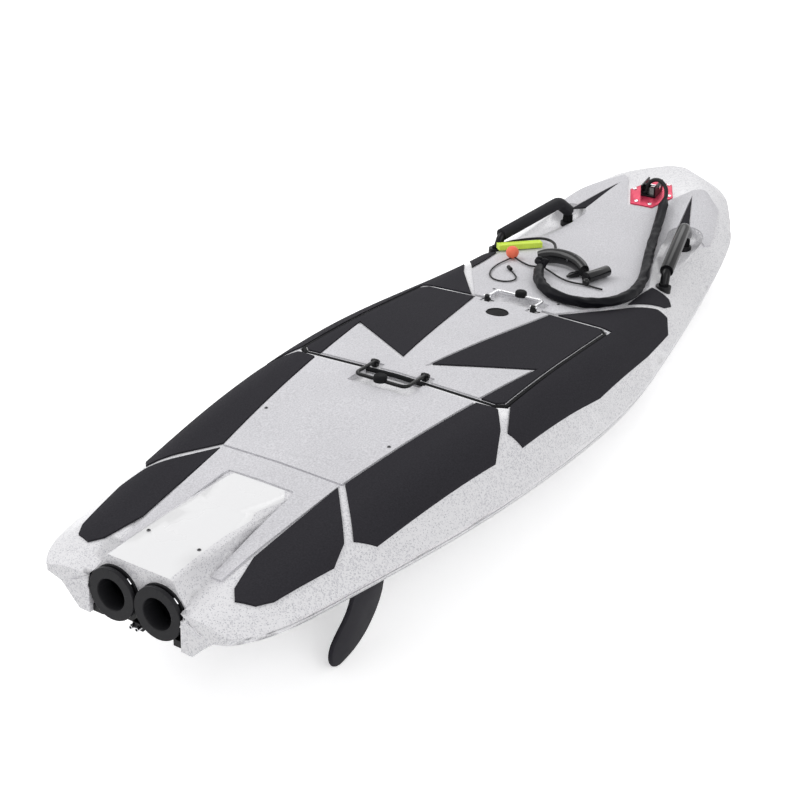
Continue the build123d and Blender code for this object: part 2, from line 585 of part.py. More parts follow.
def lowest(points, angle):
    s, c = math.sin(math.radians(angle)), math.cos(math.radians(angle))
    return min(z * c - x * s for x, z in points)


def park_angle():
    # Nose down until the bottom touches the floor that the fin tips stand on
    keel = [(p.X, p.Z) for e in bottom_body().edges() for p in e.positions([i / 200 for i in range(201)])
            if p.X > 900]
    fins = [(p.X, p.Z) for e in fin(1).edges() for p in e.positions([i / 40 for i in range(41)])]
    low, high = 0.0, 15.0
    for _ in range(40):
        middle = (low + high) / 2
        if lowest(keel, middle) > lowest(fins, middle):
            low = middle
        else:
            high = middle
    return low


def place():
    # Stand the board on its fins and forward bottom, with the origin under the middle of its box
    turn = Rot(0, park_angle(), 0)
    turned = {name: turn * shape for name, shape in PIECES.items()}
    boxes = [shape.bounding_box() for shape in turned.values()]
    shift = Pos(-(min(b.min.X for b in boxes) + max(b.max.X for b in boxes)) / 2, 0,
                -min(b.min.Z for b in boxes))
    for name, shape in turned.items():
        export_step(shift * shape, "parts/" + name + ".step")
    print("angle", park_angle())
    for name, point in ANCHORS.items():
        p = (shift * turn * Pos(*point)).position
        print("anchor", name, round(p.X, 4), round(p.Y, 4), round(p.Z, 4))


build()
place()
for name, shape in PIECES.items():
    print(name, round(shape.volume), len(shape.solids()), shape.is_valid)
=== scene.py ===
import json
import math

import bpy
from mathutils import Matrix, Vector
from mathutils.bvhtree import BVHTree


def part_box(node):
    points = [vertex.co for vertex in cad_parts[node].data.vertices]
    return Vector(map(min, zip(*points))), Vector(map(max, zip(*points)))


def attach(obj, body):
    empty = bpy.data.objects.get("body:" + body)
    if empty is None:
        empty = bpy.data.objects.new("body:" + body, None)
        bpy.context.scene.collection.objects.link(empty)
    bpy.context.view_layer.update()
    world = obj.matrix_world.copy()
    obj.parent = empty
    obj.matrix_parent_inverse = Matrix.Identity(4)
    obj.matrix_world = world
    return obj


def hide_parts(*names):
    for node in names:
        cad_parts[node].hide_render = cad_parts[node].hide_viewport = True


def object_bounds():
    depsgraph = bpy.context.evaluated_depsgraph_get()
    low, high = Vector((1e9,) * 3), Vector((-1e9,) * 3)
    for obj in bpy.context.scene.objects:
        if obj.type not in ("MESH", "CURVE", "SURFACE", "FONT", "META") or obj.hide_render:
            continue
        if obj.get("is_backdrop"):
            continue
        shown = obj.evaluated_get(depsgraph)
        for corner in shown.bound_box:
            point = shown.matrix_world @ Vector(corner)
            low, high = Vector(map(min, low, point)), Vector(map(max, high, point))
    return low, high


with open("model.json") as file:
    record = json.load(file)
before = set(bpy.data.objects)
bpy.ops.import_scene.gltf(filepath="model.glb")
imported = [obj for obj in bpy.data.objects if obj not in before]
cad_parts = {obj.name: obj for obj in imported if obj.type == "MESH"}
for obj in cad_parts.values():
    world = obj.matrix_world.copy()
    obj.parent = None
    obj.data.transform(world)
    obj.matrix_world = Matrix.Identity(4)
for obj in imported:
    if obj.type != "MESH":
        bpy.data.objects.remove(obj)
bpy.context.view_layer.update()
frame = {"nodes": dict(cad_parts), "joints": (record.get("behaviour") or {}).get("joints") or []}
nodes = frame["nodes"]

# Camera
# The photograph is taken from behind the starboard quarter, about a metre above the deck.
# Places on the board are given in millimetres on the level board: x forward from the transom, y to port and
# z up. The parked board is tilted nose down: on_board turns a level place into the parked one, and
# level_place turns it back.
up = Vector(next(j["axis"] for j in frame["joints"] if j["name"] == "lid_lift"))
parked_turn = Matrix.Rotation(math.atan2(up.x, up.z), 4, "Y")
battery_low, battery_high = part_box("battery")
BATTERY_MIDDLE = (827.5, 0, 67)
parked_shift = (battery_low + battery_high) / 2 - parked_turn @ (Vector(BATTERY_MIDDLE) / 1000)
parked = Matrix.Translation(parked_shift) @ parked_turn


def on_board(x, y, z):
    return parked @ (Vector((x, y, z)) / 1000)


def level_place(place):
    return parked.inverted() @ place * 1000


CAMERA_PLACE = (-1045.7, -980, 980)
CAMERA_RIGHT = (0.52081, -0.85237, 0.04707)
CAMERA_UP = (0.33248, 0.25331, 0.90846)
CAMERA_BACK = (-0.78627, -0.45748, 0.41532)
FOCAL_LENGTH = 59.47

bpy.ops.object.camera_add(location=on_board(*CAMERA_PLACE))
camera = bpy.context.object
level_axes = Matrix((CAMERA_RIGHT, CAMERA_UP, CAMERA_BACK)).transposed()
camera.rotation_euler = (parked_turn.to_3x3() @ level_axes).to_euler()
camera.data.lens = FOCAL_LENGTH
camera.data.sensor_width = 36
camera.data.clip_end = 60
bpy.context.scene.camera = camera


# Hull
# Two mouldings meet at the rail: the deck with its pump hump, and the bottom. The gelcoat is white with
# fine grey specks in it, fewer in some patches than in others, and glossy under a light orange peel.
def new_finish(name, colour, roughness, metallic=0.0, coat=0.0, specular=0.5):
    finish = bpy.data.materials.new(name)
    finish.use_nodes = True
    shader = finish.node_tree.nodes["Principled BSDF"]
    shader.inputs["Base Color"].default_value = (*colour, 1)
    shader.inputs["Roughness"].default_value = roughness
    shader.inputs["Metallic"].default_value = metallic
    shader.inputs["Specular IOR Level"].default_value = specular
    shader.inputs["Coat Weight"].default_value = coat
    shader.inputs["Coat Roughness"].default_value = 0.08
    return finish


def add_node(finish, kind, place=(0, 0), **values):
    node = finish.node_tree.nodes.new(kind)
    node.location = place
    for key, value in values.items():
        if key in node.inputs:
            node.inputs[key].default_value = value
        else:
            setattr(node, key, value)
    return node


def join(finish, a, out, b, into):
    finish.node_tree.links.new(a.outputs[out], b.inputs[into])


def texture(finish, kind, place, source="Object", **values):
    # A pattern on the piece's own coordinates
    spot = finish.node_tree.nodes.get("Texture Coordinate")
    spot = spot or add_node(finish, "ShaderNodeTexCoord", (-1500, 0))
    pattern = add_node(finish, kind, place, **values)
    join(finish, spot, source, pattern, "Vector")
    return pattern


def spread(finish, pattern, out, low, high, place, to_low=0.0, to_high=1.0):
    node = add_node(finish, "ShaderNodeMapRange", place)
    for key, value in (("From Min", low), ("From Max", high), ("To Min", to_low), ("To Max", to_high)):
        node.inputs[key].default_value = value
    join(finish, pattern, out, node, "Value")
    return node


def mixed_colour(finish, factor, out, first, second, place=(0, 0)):
    mix = add_node(finish, "ShaderNodeMix", place, data_type="RGBA")
    for socket, colour in (("A", first), ("B", second)):
        if isinstance(colour, tuple):
            mix.inputs[socket].default_value = (*colour, 1)
        else:
            join(finish, colour, "Result", mix, socket)
    join(finish, factor, out, mix, "Factor")
    return mix


def coloured(finish, node):
    join(finish, node, "Result", finish.node_tree.nodes["Principled BSDF"], "Base Color")


def roughened(finish, node):
    join(finish, node, "Result", finish.node_tree.nodes["Principled BSDF"], "Roughness")


def bumped(finish, height, out, strength, distance, place=(-200, -400)):
    bump = add_node(finish, "ShaderNodeBump", place, Strength=strength, Distance=distance)
    join(finish, height, out, bump, "Height")
    join(finish, bump, "Normal", finish.node_tree.nodes["Principled BSDF"], "Normal")


def dress(finish, *parts):
    for part in parts:
        nodes[part].data.materials.clear()
        nodes[part].data.materials.append(finish)


def ease_edges(part, width, angle=40, segments=2):
    # The small radius that a mould or a cutter leaves on an edge
    weld = nodes[part].modifiers.new("weld", "WELD")
    weld.merge_threshold = 0.00002
    bevel = nodes[part].modifiers.new("edge", "BEVEL")
    bevel.width = width
    bevel.segments = segments
    bevel.limit_method = "ANGLE"
    bevel.angle_limit = math.radians(angle)
    bevel.harden_normals = True


GELCOAT_WHITE, SPECK_GREY, SPECK_DARK = (0.74, 0.735, 0.755), (0.60, 0.595, 0.625), (0.46, 0.46, 0.49)
gelcoat = new_finish("speckled_gelcoat", GELCOAT_WHITE, 0.30, coat=0.3)
cells = texture(gelcoat, "ShaderNodeTexVoronoi", (-1200, 200), Scale=430, Randomness=1.0)
small = texture(gelcoat, "ShaderNodeTexVoronoi", (-1200, -100), Scale=800, Randomness=1.0)
cloud = texture(gelcoat, "ShaderNodeTexNoise", (-1200, -400), Scale=9, Detail=3)
peel = texture(gelcoat, "ShaderNodeTexNoise", (-1200, -650), Scale=160, Detail=2)
picked = spread(gelcoat, cells, "Color", 0.66, 0.72, (-950, 200))
picked_small = spread(gelcoat, small, "Color", 0.74, 0.80, (-950, -100))
speckled = mixed_colour(gelcoat, picked, "Result", GELCOAT_WHITE, SPECK_GREY, (-600, 200))
faint = mixed_colour(gelcoat, spread(gelcoat, cloud, "Fac", 0.35, 0.62, (-950, -400)), "Result",
                     GELCOAT_WHITE, speckled, (-400, 200))
darker = mixed_colour(gelcoat, picked_small, "Result", faint, SPECK_DARK, (-200, 100))
coloured(gelcoat, darker)
bumped(gelcoat, peel, "Fac", 0.10, 0.0006)
dress(gelcoat, "hull_deck", "hull_bottom", "lid_panel")
# A brighter white without specks for the hump's upward faces: a painted highlight on its top
painted_highlight_gelcoat = new_finish("painted_highlight_gelcoat", (0.80, 0.80, 0.81), 0.28, coat=0.3)
polish = texture(painted_highlight_gelcoat, "ShaderNodeTexNoise", (-900, 0), Scale=14, Detail=4)
roughened(painted_highlight_gelcoat, spread(painted_highlight_gelcoat, polish, "Fac", 0.3, 0.7, (-500, 0), 0.24, 0.34))
painted_highlight_peel = texture(painted_highlight_gelcoat, "ShaderNodeTexNoise", (-900, -300), Scale=160, Detail=2)
bumped(painted_highlight_gelcoat, painted_highlight_peel, "Fac", 0.08, 0.0006)

# The hump's rear end is set in from the nozzles and its top narrows towards the front
HUMP_END, HUMP_SET_IN = (3, 77, 57.9), 14
HUMP_NARROWS, HUMP_FRONT, HUMP_NARROW = 110, 268, 0.08
HUMP_TOP_HALF, HUMP_TOP_LOW = 58, 99.3
# Bounds of the hump's top whose upward faces take the painted highlight
HIGHLIGHT_FRONT, HIGHLIGHT_HALF, HIGHLIGHT_LOW = 280, 59, 88
# Place along the board, half width of the solid's rail there, and the share by which it is widened
NOSE_RAIL = ((1690, 194, 0), (1730, 171, 0.07), (1760, 143, 0.17), (1790, 118, 0.30), (1820, 97, 0.44),
             (1850, 67, 0.62), (1860, 40, 0.62))


def fuller_nose(x, y):
    # The rail stands further out towards the nose, and the deck inside it stays
    for (x1, half1, more1), (x2, half2, more2) in zip(NOSE_RAIL, NOSE_RAIL[1:]):
        if x1 < x <= x2:
            share = (x - x1) / (x2 - x1)
            edge = abs(y) / (half1 + (half2 - half1) * share)
            weight = min(1, max(0, (edge - 0.5) / 0.45))
            return y * (1 + (more1 + (more2 - more1) * share) * weight * weight * (3 - 2 * weight))
    return y


def clear_selection():
    bpy.ops.object.select_all(action="DESELECT")


def select_only(piece):
    clear_selection()
    piece.select_set(True)
    bpy.context.view_layer.objects.active = piece


def open_whole():
    bpy.ops.object.mode_set(mode="EDIT")
    bpy.ops.mesh.select_all(action="SELECT")


def close_piece():
    bpy.ops.object.mode_set(mode="OBJECT")


def own_copy(part, name):
    # A copy of a solid with its loose triangles merged, so that it can be reshaped
    piece = nodes[part].copy()
    piece.data = nodes[part].data.copy()
    piece.name = name
    bpy.context.collection.objects.link(piece)
    select_only(piece)
    open_whole()
    bpy.ops.mesh.remove_doubles(threshold=0.00001)
    close_piece()
    return piece


deck = own_copy("hull_deck", "deck_moulding")
deck.data.materials.append(painted_highlight_gelcoat)
for corner in deck.data.vertices:
    x, y, z = level_place(corner.co)
    if x < HUMP_END[0] and abs(y) < HUMP_END[1] and z > HUMP_END[2]:
        x += HUMP_SET_IN
    if HUMP_NARROWS < x < HUMP_FRONT and abs(y) < HUMP_TOP_HALF and z > HUMP_TOP_LOW:
        y *= 1 - HUMP_NARROW * (x - HUMP_NARROWS) / (HUMP_FRONT - HUMP_NARROWS)
    corner.co = on_board(x, fuller_nose(x, y), z)
deck.data.update()
# Upward faces on the hump's top get the brighter white without specks: painted highlight
for face in deck.data.polygons:
    x, y, z = level_place(face.center)
    if x < HIGHLIGHT_FRONT and abs(y) < HIGHLIGHT_HALF and z > HIGHLIGHT_LOW and face.normal.dot(up) > 0.9:
        face.material_index = 1
bottom = own_copy("hull_bottom", "bottom_moulding")
for corner in bottom.data.vertices:
    x, y, z = level_place(corner.co)
    corner.co = on_board(x, fuller_nose(x, y), z)
bottom.data.update()
for moulding, part in ((deck, "hull_deck"), (bottom, "hull_bottom")):
    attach(moulding, "board")
    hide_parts(part)


# Foam deck pads
# Closed cell foam sheet, 3 mm thick, cut on a plotter and stuck to the deck. Its face is pressed with a fine
# grain and is quite matt. Grey sheets lie along the middle, black ones along the sides and on the star.
def foam_finish(name, colour, grain_depth):
    foam = new_finish(name, colour, 0.90, specular=0.12)
    pores = texture(foam, "ShaderNodeTexVoronoi", (-950, 0), Scale=560, Randomness=0.9)
    grain = texture(foam, "ShaderNodeTexNoise", (-950, -300), Scale=420, Detail=4)
    cloud = texture(foam, "ShaderNodeTexNoise", (-950, 300), Scale=6, Detail=5)
    light, dark = tuple(c * 1.10 for c in colour), tuple(c * 0.92 for c in colour)
    tint = mixed_colour(foam, cloud, "Fac", dark, light, (-500, 300))
    fleck = spread(foam, grain, "Fac", 0.30, 0.75, (-700, -300), 0.80, 1.14)
    shade = add_node(foam, "ShaderNodeMix", (-250, 100), data_type="RGBA", blend_type="MULTIPLY")
    shade.inputs["Factor"].default_value = 1
    join(foam, tint, "Result", shade, "A")
    join(foam, fleck, "Result", shade, "B")
    coloured(foam, shade)
    depth = add_node(foam, "ShaderNodeMath", (-500, -200), operation="ADD")
    join(foam, pores, "Distance", depth, 0)
    join(foam, grain, "Fac", depth, 1)
    bumped(foam, depth, "Value", grain_depth, 0.0008)
    return foam


grey_foam = foam_finish("grey_foam", (0.645, 0.64, 0.668), 0.22)
black_foam = foam_finish("black_foam", (0.026, 0.025, 0.030), 0.30)
dress(grey_foam, "tail_pad_mid", "waist_pad_mid", "lid_pad_mid", "front_pad_mid")
dress(black_foam, "tail_pads_side", "waist_pads_side", "lid_pads_side", "mid_pads_side", "front_crescents",
      "nose_flashes")


# Battery
# A sealed plastic case that fills its bay under the lid. It shows only with the lid lifted: dark grey, with
# a fine spark eroded grain.
def grained(name, colour, roughness, grain=700, depth=0.15, **values):
    plastic = new_finish(name, colour, roughness, **values)
    fine = texture(plastic, "ShaderNodeTexNoise", (-900, -200), Scale=grain, Detail=3)
    cloud = texture(plastic, "ShaderNodeTexNoise", (-900, 200), Scale=30, Detail=4)
    tint = mixed_colour(plastic, cloud, "Fac", tuple(c * 0.85 for c in colour), tuple(c * 1.15 for c in colour),
                        (-500, 200))
    coloured(plastic, tint)
    roughened(plastic, spread(plastic, cloud, "Fac", 0.3, 0.7, (-500, -100), roughness * 0.88,
                              roughness * 1.12))
    bumped(plastic, fine, "Fac", depth, 0.0004)
    return plastic


dress(grained("battery_plastic", (0.10, 0.10, 0.11), 0.55), "battery")


# Battery lid
# A white moulded panel that fits flush in the deck, with a flat black rubber ring under its rim. The top of
# the ring shows as a black bead all round, against the lid's edge. A grey cap with a dark rim sits in its pad.
def pick(piece, kind, test):
    # Opens the piece and selects its corners, edges or faces by their place, or a face by its place and facing
    bpy.ops.object.mode_set(mode="EDIT")
    bpy.ops.mesh.select_mode(type=kind)
    bpy.ops.mesh.select_all(action="DESELECT")
    bpy.ops.object.mode_set(mode="OBJECT")
    mesh = piece.data
    if kind == "FACE":
        for face in mesh.polygons:
            face.select = bool(test(face.center, face.normal))
    elif kind == "EDGE":
        for edge in mesh.edges:
            edge.select = bool(test(*(mesh.vertices[i].co for i in edge.vertices)))
    else:
        for corner in mesh.vertices:
            corner.select = bool(test(corner.co))
    bpy.ops.object.mode_set(mode="EDIT")


def settle(piece, name, body, finish, angle=35):
    # A piece made on the level board is turned with the parked one, and its place goes into its mesh
    piece.name = name
    piece.matrix_world = parked @ piece.matrix_world
    select_only(piece)
    bpy.ops.object.transform_apply(location=True, rotation=True, scale=True)
    bpy.ops.object.shade_smooth_by_angle(angle=math.radians(angle))
    piece.data.materials.clear()
    piece.data.materials.append(finish)
    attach(piece, body)
    return piece


surfaces = {}


def surface(part):
    if part not in surfaces:
        piece = nodes[part] if isinstance(part, str) else part
        surfaces[part] = BVHTree.FromObject(piece, bpy.context.evaluated_depsgraph_get())
    return surfaces[part]


def top_of(part, x, y):
    # The part's height and facing at a place on the level board
    place, facing, _, _ = surface(part).ray_cast(on_board(x, y, 400), -up)
    return level_place(place).z, parked_turn.to_3x3().inverted() @ facing


rubber = grained("seal_rubber", (0.008, 0.008, 0.009), 0.70, depth=0.1, specular=0.12)
dress(rubber, "lid_seal")
BEAD_RADIUS, BEAD_SUNK, BEAD_INSIDE = 4.0, 3.2, 0.965
LID_RIM = ((625.0, 176.4), (639.0, 190.4), (1017.0, 190.4), (1031.0, 176.4))
LID_MIDDLE = Vector((828, 0))
clear_selection()
bpy.ops.mesh.primitive_circle_add(vertices=8, radius=0.2)
bead = bpy.context.object
rim = list(LID_RIM) + [(x, -y) for x, y in reversed(LID_RIM)]
for corner, (x, y) in zip(bead.data.vertices, rim):
    corner.co = (x / 1000, y / 1000, 0.14)
pick(bead, "EDGE", lambda a, b: True)
bpy.ops.mesh.subdivide(number_cuts=11)
close_piece()
for corner in bead.data.vertices:
    place = Vector((corner.co.x * 1000, corner.co.y * 1000))
    inside = LID_MIDDLE + (place - LID_MIDDLE) * BEAD_INSIDE
    corner.co.z = (top_of("lid_panel", inside.x, inside.y)[0] - BEAD_SUNK) / 1000
bpy.ops.object.convert(target="CURVE")
bpy.context.object.data.bevel_depth = BEAD_RADIUS / 1000
bpy.context.object.data.bevel_resolution = 2
bpy.ops.object.convert(target="MESH")
settle(bpy.context.object, "lid_bead", "battery_lid", rubber)

cap_grey = grained("cap_grey", (0.32, 0.32, 0.33), 0.5)
dress(cap_grey, "lid_disc")
CAP, CAP_RADIUS, CAP_TOP = (970, 0), 20.0, 142.25
clear_selection()
bpy.ops.mesh.primitive_cylinder_add(vertices=48, radius=CAP_RADIUS / 1000, depth=0.002,
                                    location=(CAP[0] / 1000, CAP[1] / 1000, CAP_TOP / 1000 + 0.0009))
cap = bpy.context.object
pick(cap, "FACE", lambda place, facing: facing.z > 0.9)
bpy.ops.mesh.inset(thickness=0.0022)
bpy.ops.mesh.extrude_region_move(TRANSFORM_OT_translate={"value": (0, 0, -0.0011)})
pick(cap, "EDGE", lambda a, b: min(a.z, b.z) > 0.0009)
bpy.ops.mesh.bevel(offset=0.0004, segments=2)
close_piece()
settle(cap, "cap_rim", "battery_lid", rubber)


# Lid catches
# A bent wire bail at each end of the lid swings in two small moulded clips and drops over the deck's edge,
# pressed down by a rubber knob. The front wire is polished steel. The rear one is polished wire given a glossy
# black as a painted dark reflection.
def metal_finish(name, colour, roughness, scratch=0.10, metallic=1.0, **values):
    metal = new_finish(name, colour, roughness, metallic=metallic, **values)
    fine = texture(metal, "ShaderNodeTexNoise", (-900, -200), Scale=900, Detail=3)
    cloud = texture(metal, "ShaderNodeTexNoise", (-900, 200), Scale=60, Detail=3)
    tint = mixed_colour(metal, cloud, "Fac", tuple(c * 0.90 for c in colour), colour, (-500, 200))
    coloured(metal, tint)
    roughened(metal, spread(metal, cloud, "Fac", 0.3, 0.7, (-500, -100), roughness * 0.8, roughness * 1.3))
    bumped(metal, fine, "Fac", scratch, 0.0002)
    return metal


polished_steel = metal_finish("polished_steel", (0.80, 0.80, 0.82), 0.14)
coated_black = metal_finish("coated_black", (0.006, 0.006, 0.007), 0.24, metallic=0.0, specular=0.2)
moulded_black = grained("moulded_black", (0.007, 0.007, 0.008), 0.42, depth=0.12, specular=0.2)
# The rear wire's black is a painted dark reflection on polished wire
dress(coated_black, "bail_rear")
dress(polished_steel, "bail_front")
dress(rubber, "bail_knob_rear", "bail_knob_front")
CLIP_SIZE, CLIP_TOP, CLIP_SIDE = (9.5, 9.0, 12.5), 151.8, 47
for end, hinge in (("rear", 634), ("front", 1022)):
    clips = []
    for side in (1, -1):
        clear_selection()
        bpy.ops.mesh.primitive_cube_add(size=1, location=(hinge / 1000, side * CLIP_SIDE / 1000,
                                                          (CLIP_TOP - CLIP_SIZE[2] / 2) / 1000))
        clip = bpy.context.object
        clip.scale = Vector(CLIP_SIZE) / 1000
        bpy.ops.object.transform_apply(location=False, rotation=False, scale=True)
        pick(clip, "EDGE", lambda a, b: abs(a.y - b.y) > 0.001 and a.z > 0)
        bpy.ops.mesh.bevel(offset=0.0042, segments=5)
        pick(clip, "FACE", lambda place, facing: abs(facing.x) > 0.9)
        bpy.ops.mesh.inset(thickness=0.0016)
        bpy.ops.mesh.extrude_region_move(TRANSFORM_OT_translate={"value": (0, 0, 0)})
        bpy.ops.transform.shrink_fatten(value=0.0016)
        pick(clip, "EDGE", lambda a, b: abs(a.x - b.x) > 0.001 and abs(a.y) > 0.004)
        bpy.ops.mesh.bevel(offset=0.0007, segments=2)
        close_piece()
        clips.append(clip)
    clear_selection()
    for clip in clips:
        clip.select_set(True)
    bpy.context.view_layer.objects.active = clips[0]
    bpy.ops.object.join()
    settle(clips[0], "wire_clips_" + end, "battery_lid", moulded_black)
    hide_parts("bail_clips_" + end)


# Deck screws
# Small dark button heads with a hexagon socket hold the hump's cover and the deck's inserts: two on the
# hump, two through the waist pad and two through the front pad.
def button_head(radius, height):
    clear_selection()
    bpy.ops.mesh.primitive_cylinder_add(vertices=24, radius=radius, depth=height, location=(0, 0, 0))
    screw = bpy.context.object
    pick(screw, "EDGE", lambda a, b: min(a.z, b.z) > height * 0.4)
    bpy.ops.mesh.bevel(offset=height * 0.62, segments=3)
    pick(screw, "FACE", lambda place, facing: facing.z > 0.99)
    bpy.ops.mesh.delete(type="FACE")
    bpy.ops.mesh.primitive_circle_add(vertices=6, radius=radius * 0.46, location=(0, 0, height / 2))
    pick(screw, "VERT", lambda place: place.z > height * 0.49)
    bpy.ops.mesh.bridge_edge_loops()
    pick(screw, "EDGE", lambda a, b: max(a.xy.length, b.xy.length) < radius * 0.47)
    bpy.ops.mesh.extrude_edges_move(TRANSFORM_OT_translate={"value": (0, 0, -height * 0.7)})
    bpy.ops.mesh.edge_face_add()
    bpy.ops.mesh.select_all(action="SELECT")
    bpy.ops.mesh.normals_make_consistent(inside=False)
    close_piece()
    screw.data.transform(Matrix.Translation((0, 0, height / 2)))
    return screw


def seat_copy(model, place, lean):
    # A copy of the model with its own mesh, standing on the level board and leaning as the surface does
    copy = model.copy()
    copy.data = model.data.copy()
    bpy.context.collection.objects.link(copy)
    turn = lean.to_track_quat("Z", "Y").to_matrix().to_4x4()
    copy.matrix_world = Matrix.Translation(Vector(place) / 1000) @ turn
    return copy


dark_screw = metal_finish("dark_screw", (0.10, 0.10, 0.105), 0.32)
SCREW_RADIUS, SCREW_HEIGHT = 2.8, 1.6
deck_screw = button_head(SCREW_RADIUS / 1000, SCREW_HEIGHT / 1000)
for name, part, x, y in (("hump_screw", deck, 79, 42), ("waist_screw", "waist_pad_mid", 425, 110),
                         ("front_screw", "front_pad_mid", 1086, 67)):
    for hand, side in (("port", 1), ("starboard", -1)):
        height, lean = top_of(part, x, side * y)
        settle(seat_copy(deck_screw, (x, side * y, height - 0.4), lean), name + "_" + hand, "board", dark_screw)


# Jet nozzles
# Each pump ends in a thick flanged ring of black plastic with a plain round opening. A black band clamps it
# in the groove between its two flanges, drawn up by a small bright screw. Both rings stand on one black
# moulding in the transom's recess, with the two bright ends of the cooling water outlets under them.
nozzle_black = grained("nozzle_black", (0.016, 0.016, 0.018), 0.40, grain=500, depth=0.10, specular=0.12)
dress(nozzle_black, "nozzle_port", "nozzle_starboard")
ease_edges("nozzle_port", 0.0011)
ease_edges("nozzle_starboard", 0.0011)
outlet_metal = metal_finish("outlet_metal", (0.78, 0.78, 0.80), 0.18)
dress(outlet_metal, "outlet_tubes")
JET_SIDE, JET_HEIGHT = 38, 41
BAND_X, BAND_RADIUS, BAND_WIDE, BAND_THICK = 8.0, 33.2, 3.2, 0.9
LUG_WIDE, LUG_LONG, LUG_PROUD, LUG_TURN = 3.0, 9.0, 1.0, math.radians(45)
for hand, side in (("port", 1), ("starboard", -1)):
    middle = Vector((BAND_X, side * JET_SIDE, JET_HEIGHT)) / 1000
    clear_selection()
    bpy.ops.mesh.primitive_cylinder_add(vertices=64, radius=BAND_RADIUS / 1000, depth=BAND_WIDE / 1000,
                                        end_fill_type="NOTHING", location=middle,
                                        rotation=(0, math.pi / 2, 0))
    band = bpy.context.object
    wall = band.modifiers.new("wall", "SOLIDIFY")
    wall.thickness = BAND_THICK / 1000
    wall.offset = 1
    bpy.ops.object.modifier_apply(modifier=wall.name)
    settle(band, "clamp_band_" + hand, "board", coated_black)
    out, along = (Matrix.Rotation(LUG_TURN, 3, "X") @ Vector(axis) for axis in ((0, 0, 1), (0, 1, 0)))
    clear_selection()
    bpy.ops.mesh.primitive_cylinder_add(vertices=16, radius=LUG_WIDE / 2000, depth=LUG_LONG / 1000,
                                        location=middle + out * (BAND_RADIUS + BAND_THICK + LUG_PROUD) / 1000,
                                        rotation=along.to_track_quat("Z", "Y").to_euler())
    barrel = bpy.context.object
    pick(barrel, "EDGE", lambda a, b: abs(a.z - b.z) < 0.0001)
    bpy.ops.mesh.bevel(offset=0.0005, segments=2)
    pick(barrel, "FACE", lambda place, facing: facing.z > 0.9)
    bpy.ops.mesh.inset(thickness=0.0004)
    bpy.ops.mesh.extrude_region_move(TRANSFORM_OT_translate={"value": (0, 0, -0.0006)})
    close_piece()
    settle(barrel, "clamp_screw_" + hand, "board", outlet_metal)


# Transom face
# Round the two nozzles the deck moulding turns down into a white face, cut out for the rings, which stand a
# little proud of it. Under the rings the black moulding behind it shows.
FACE_X, FACE_THICK, FACE_HALF, FACE_LOW, FACE_TOP = 16.2, 9.0, 75.7, 26.0, 79.9
RING_CLEAR = 38.2
FLANK_FACE, FLANK_PLATE, FLANK_HEIGHT, FLANK_RISE = 60.6, 57.0, 79.5, (0.814, 0.581)
clear_selection()
bpy.ops.mesh.primitive_cube_add(size=1, location=(FACE_X / 1000, 0, (FACE_LOW + FACE_TOP) / 2000))
face_plate = bpy.context.object
face_plate.scale = (FACE_THICK / 1000, 2 * FACE_HALF / 1000, (FACE_TOP - FACE_LOW) / 1000)
bpy.ops.object.transform_apply(location=False, rotation=False, scale=True)
for side in (1, -1):
    clear_selection()
    bpy.ops.mesh.primitive_cylinder_add(vertices=96, radius=RING_CLEAR / 1000, depth=0.03,
                                        location=(FACE_X / 1000, side * JET_SIDE / 1000, JET_HEIGHT / 1000),
                                        rotation=(0, math.pi / 2, 0))
    cutter = bpy.context.object
    hole = face_plate.modifiers.new("hole", "BOOLEAN")
    hole.object = cutter
    hole.solver = "EXACT"
    bpy.context.view_layer.objects.active = face_plate
    bpy.ops.object.modifier_apply(modifier=hole.name)
    bpy.data.objects.remove(cutter)
back_plate = own_copy("nozzle_plate", "nozzle_moulding")
for plate, turn, corner in ((face_plate, Matrix(), FLANK_FACE), (back_plate, parked, FLANK_PLATE)):
    # The upper corners are cut off along the hump's leaning flanks
    select_only(plate)
    for side in (1, -1):
        open_whole()
        bpy.ops.mesh.bisect(plane_co=turn @ (Vector((0, side * corner, FLANK_HEIGHT)) / 1000), use_fill=True,
                            clear_outer=True,
                            plane_no=turn.to_3x3() @ Vector((0, side * FLANK_RISE[0], FLANK_RISE[1])))
        close_piece()
settle(face_plate, "transom_face", "board", gelcoat)
back_plate.data.materials.clear()
back_plate.data.materials.append(moulded_black)
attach(back_plate, "board")
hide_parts("nozzle_plate")


# Jet pumps
# A machined tube runs from each nozzle forward into the hull. Inside it a ring of fixed guide vanes carries
# the bladed wheel, which pushes the water out. All is near black metal, and that darkness is partly painted
# shade, so that the inside of the tubes behind the nozzles reads black.
# Painted shade in part: the near black darkens the tubes' insides behind the nozzles
pump_dark = metal_finish("pump_dark", (0.020, 0.020, 0.022), 0.42, scratch=0.2, metallic=0.2)
for hand in ("port", "starboard"):
    dress(pump_dark, "pump_tube_" + hand, "pump_stator_" + hand, "pump_wheel_" + hand)


# Intakes and fins
# The bottom has a slatted black plastic grille under each pump's water way, and a swept black fin outboard of
# it, pushed into the hull. Both are moulded with a fine satin grain.
fin_black = grained("fin_black", (0.021, 0.020, 0.025), 0.45, depth=0.10, specular=0.07)
FIN_SIDE, FIN_THICK = 172, 7.0
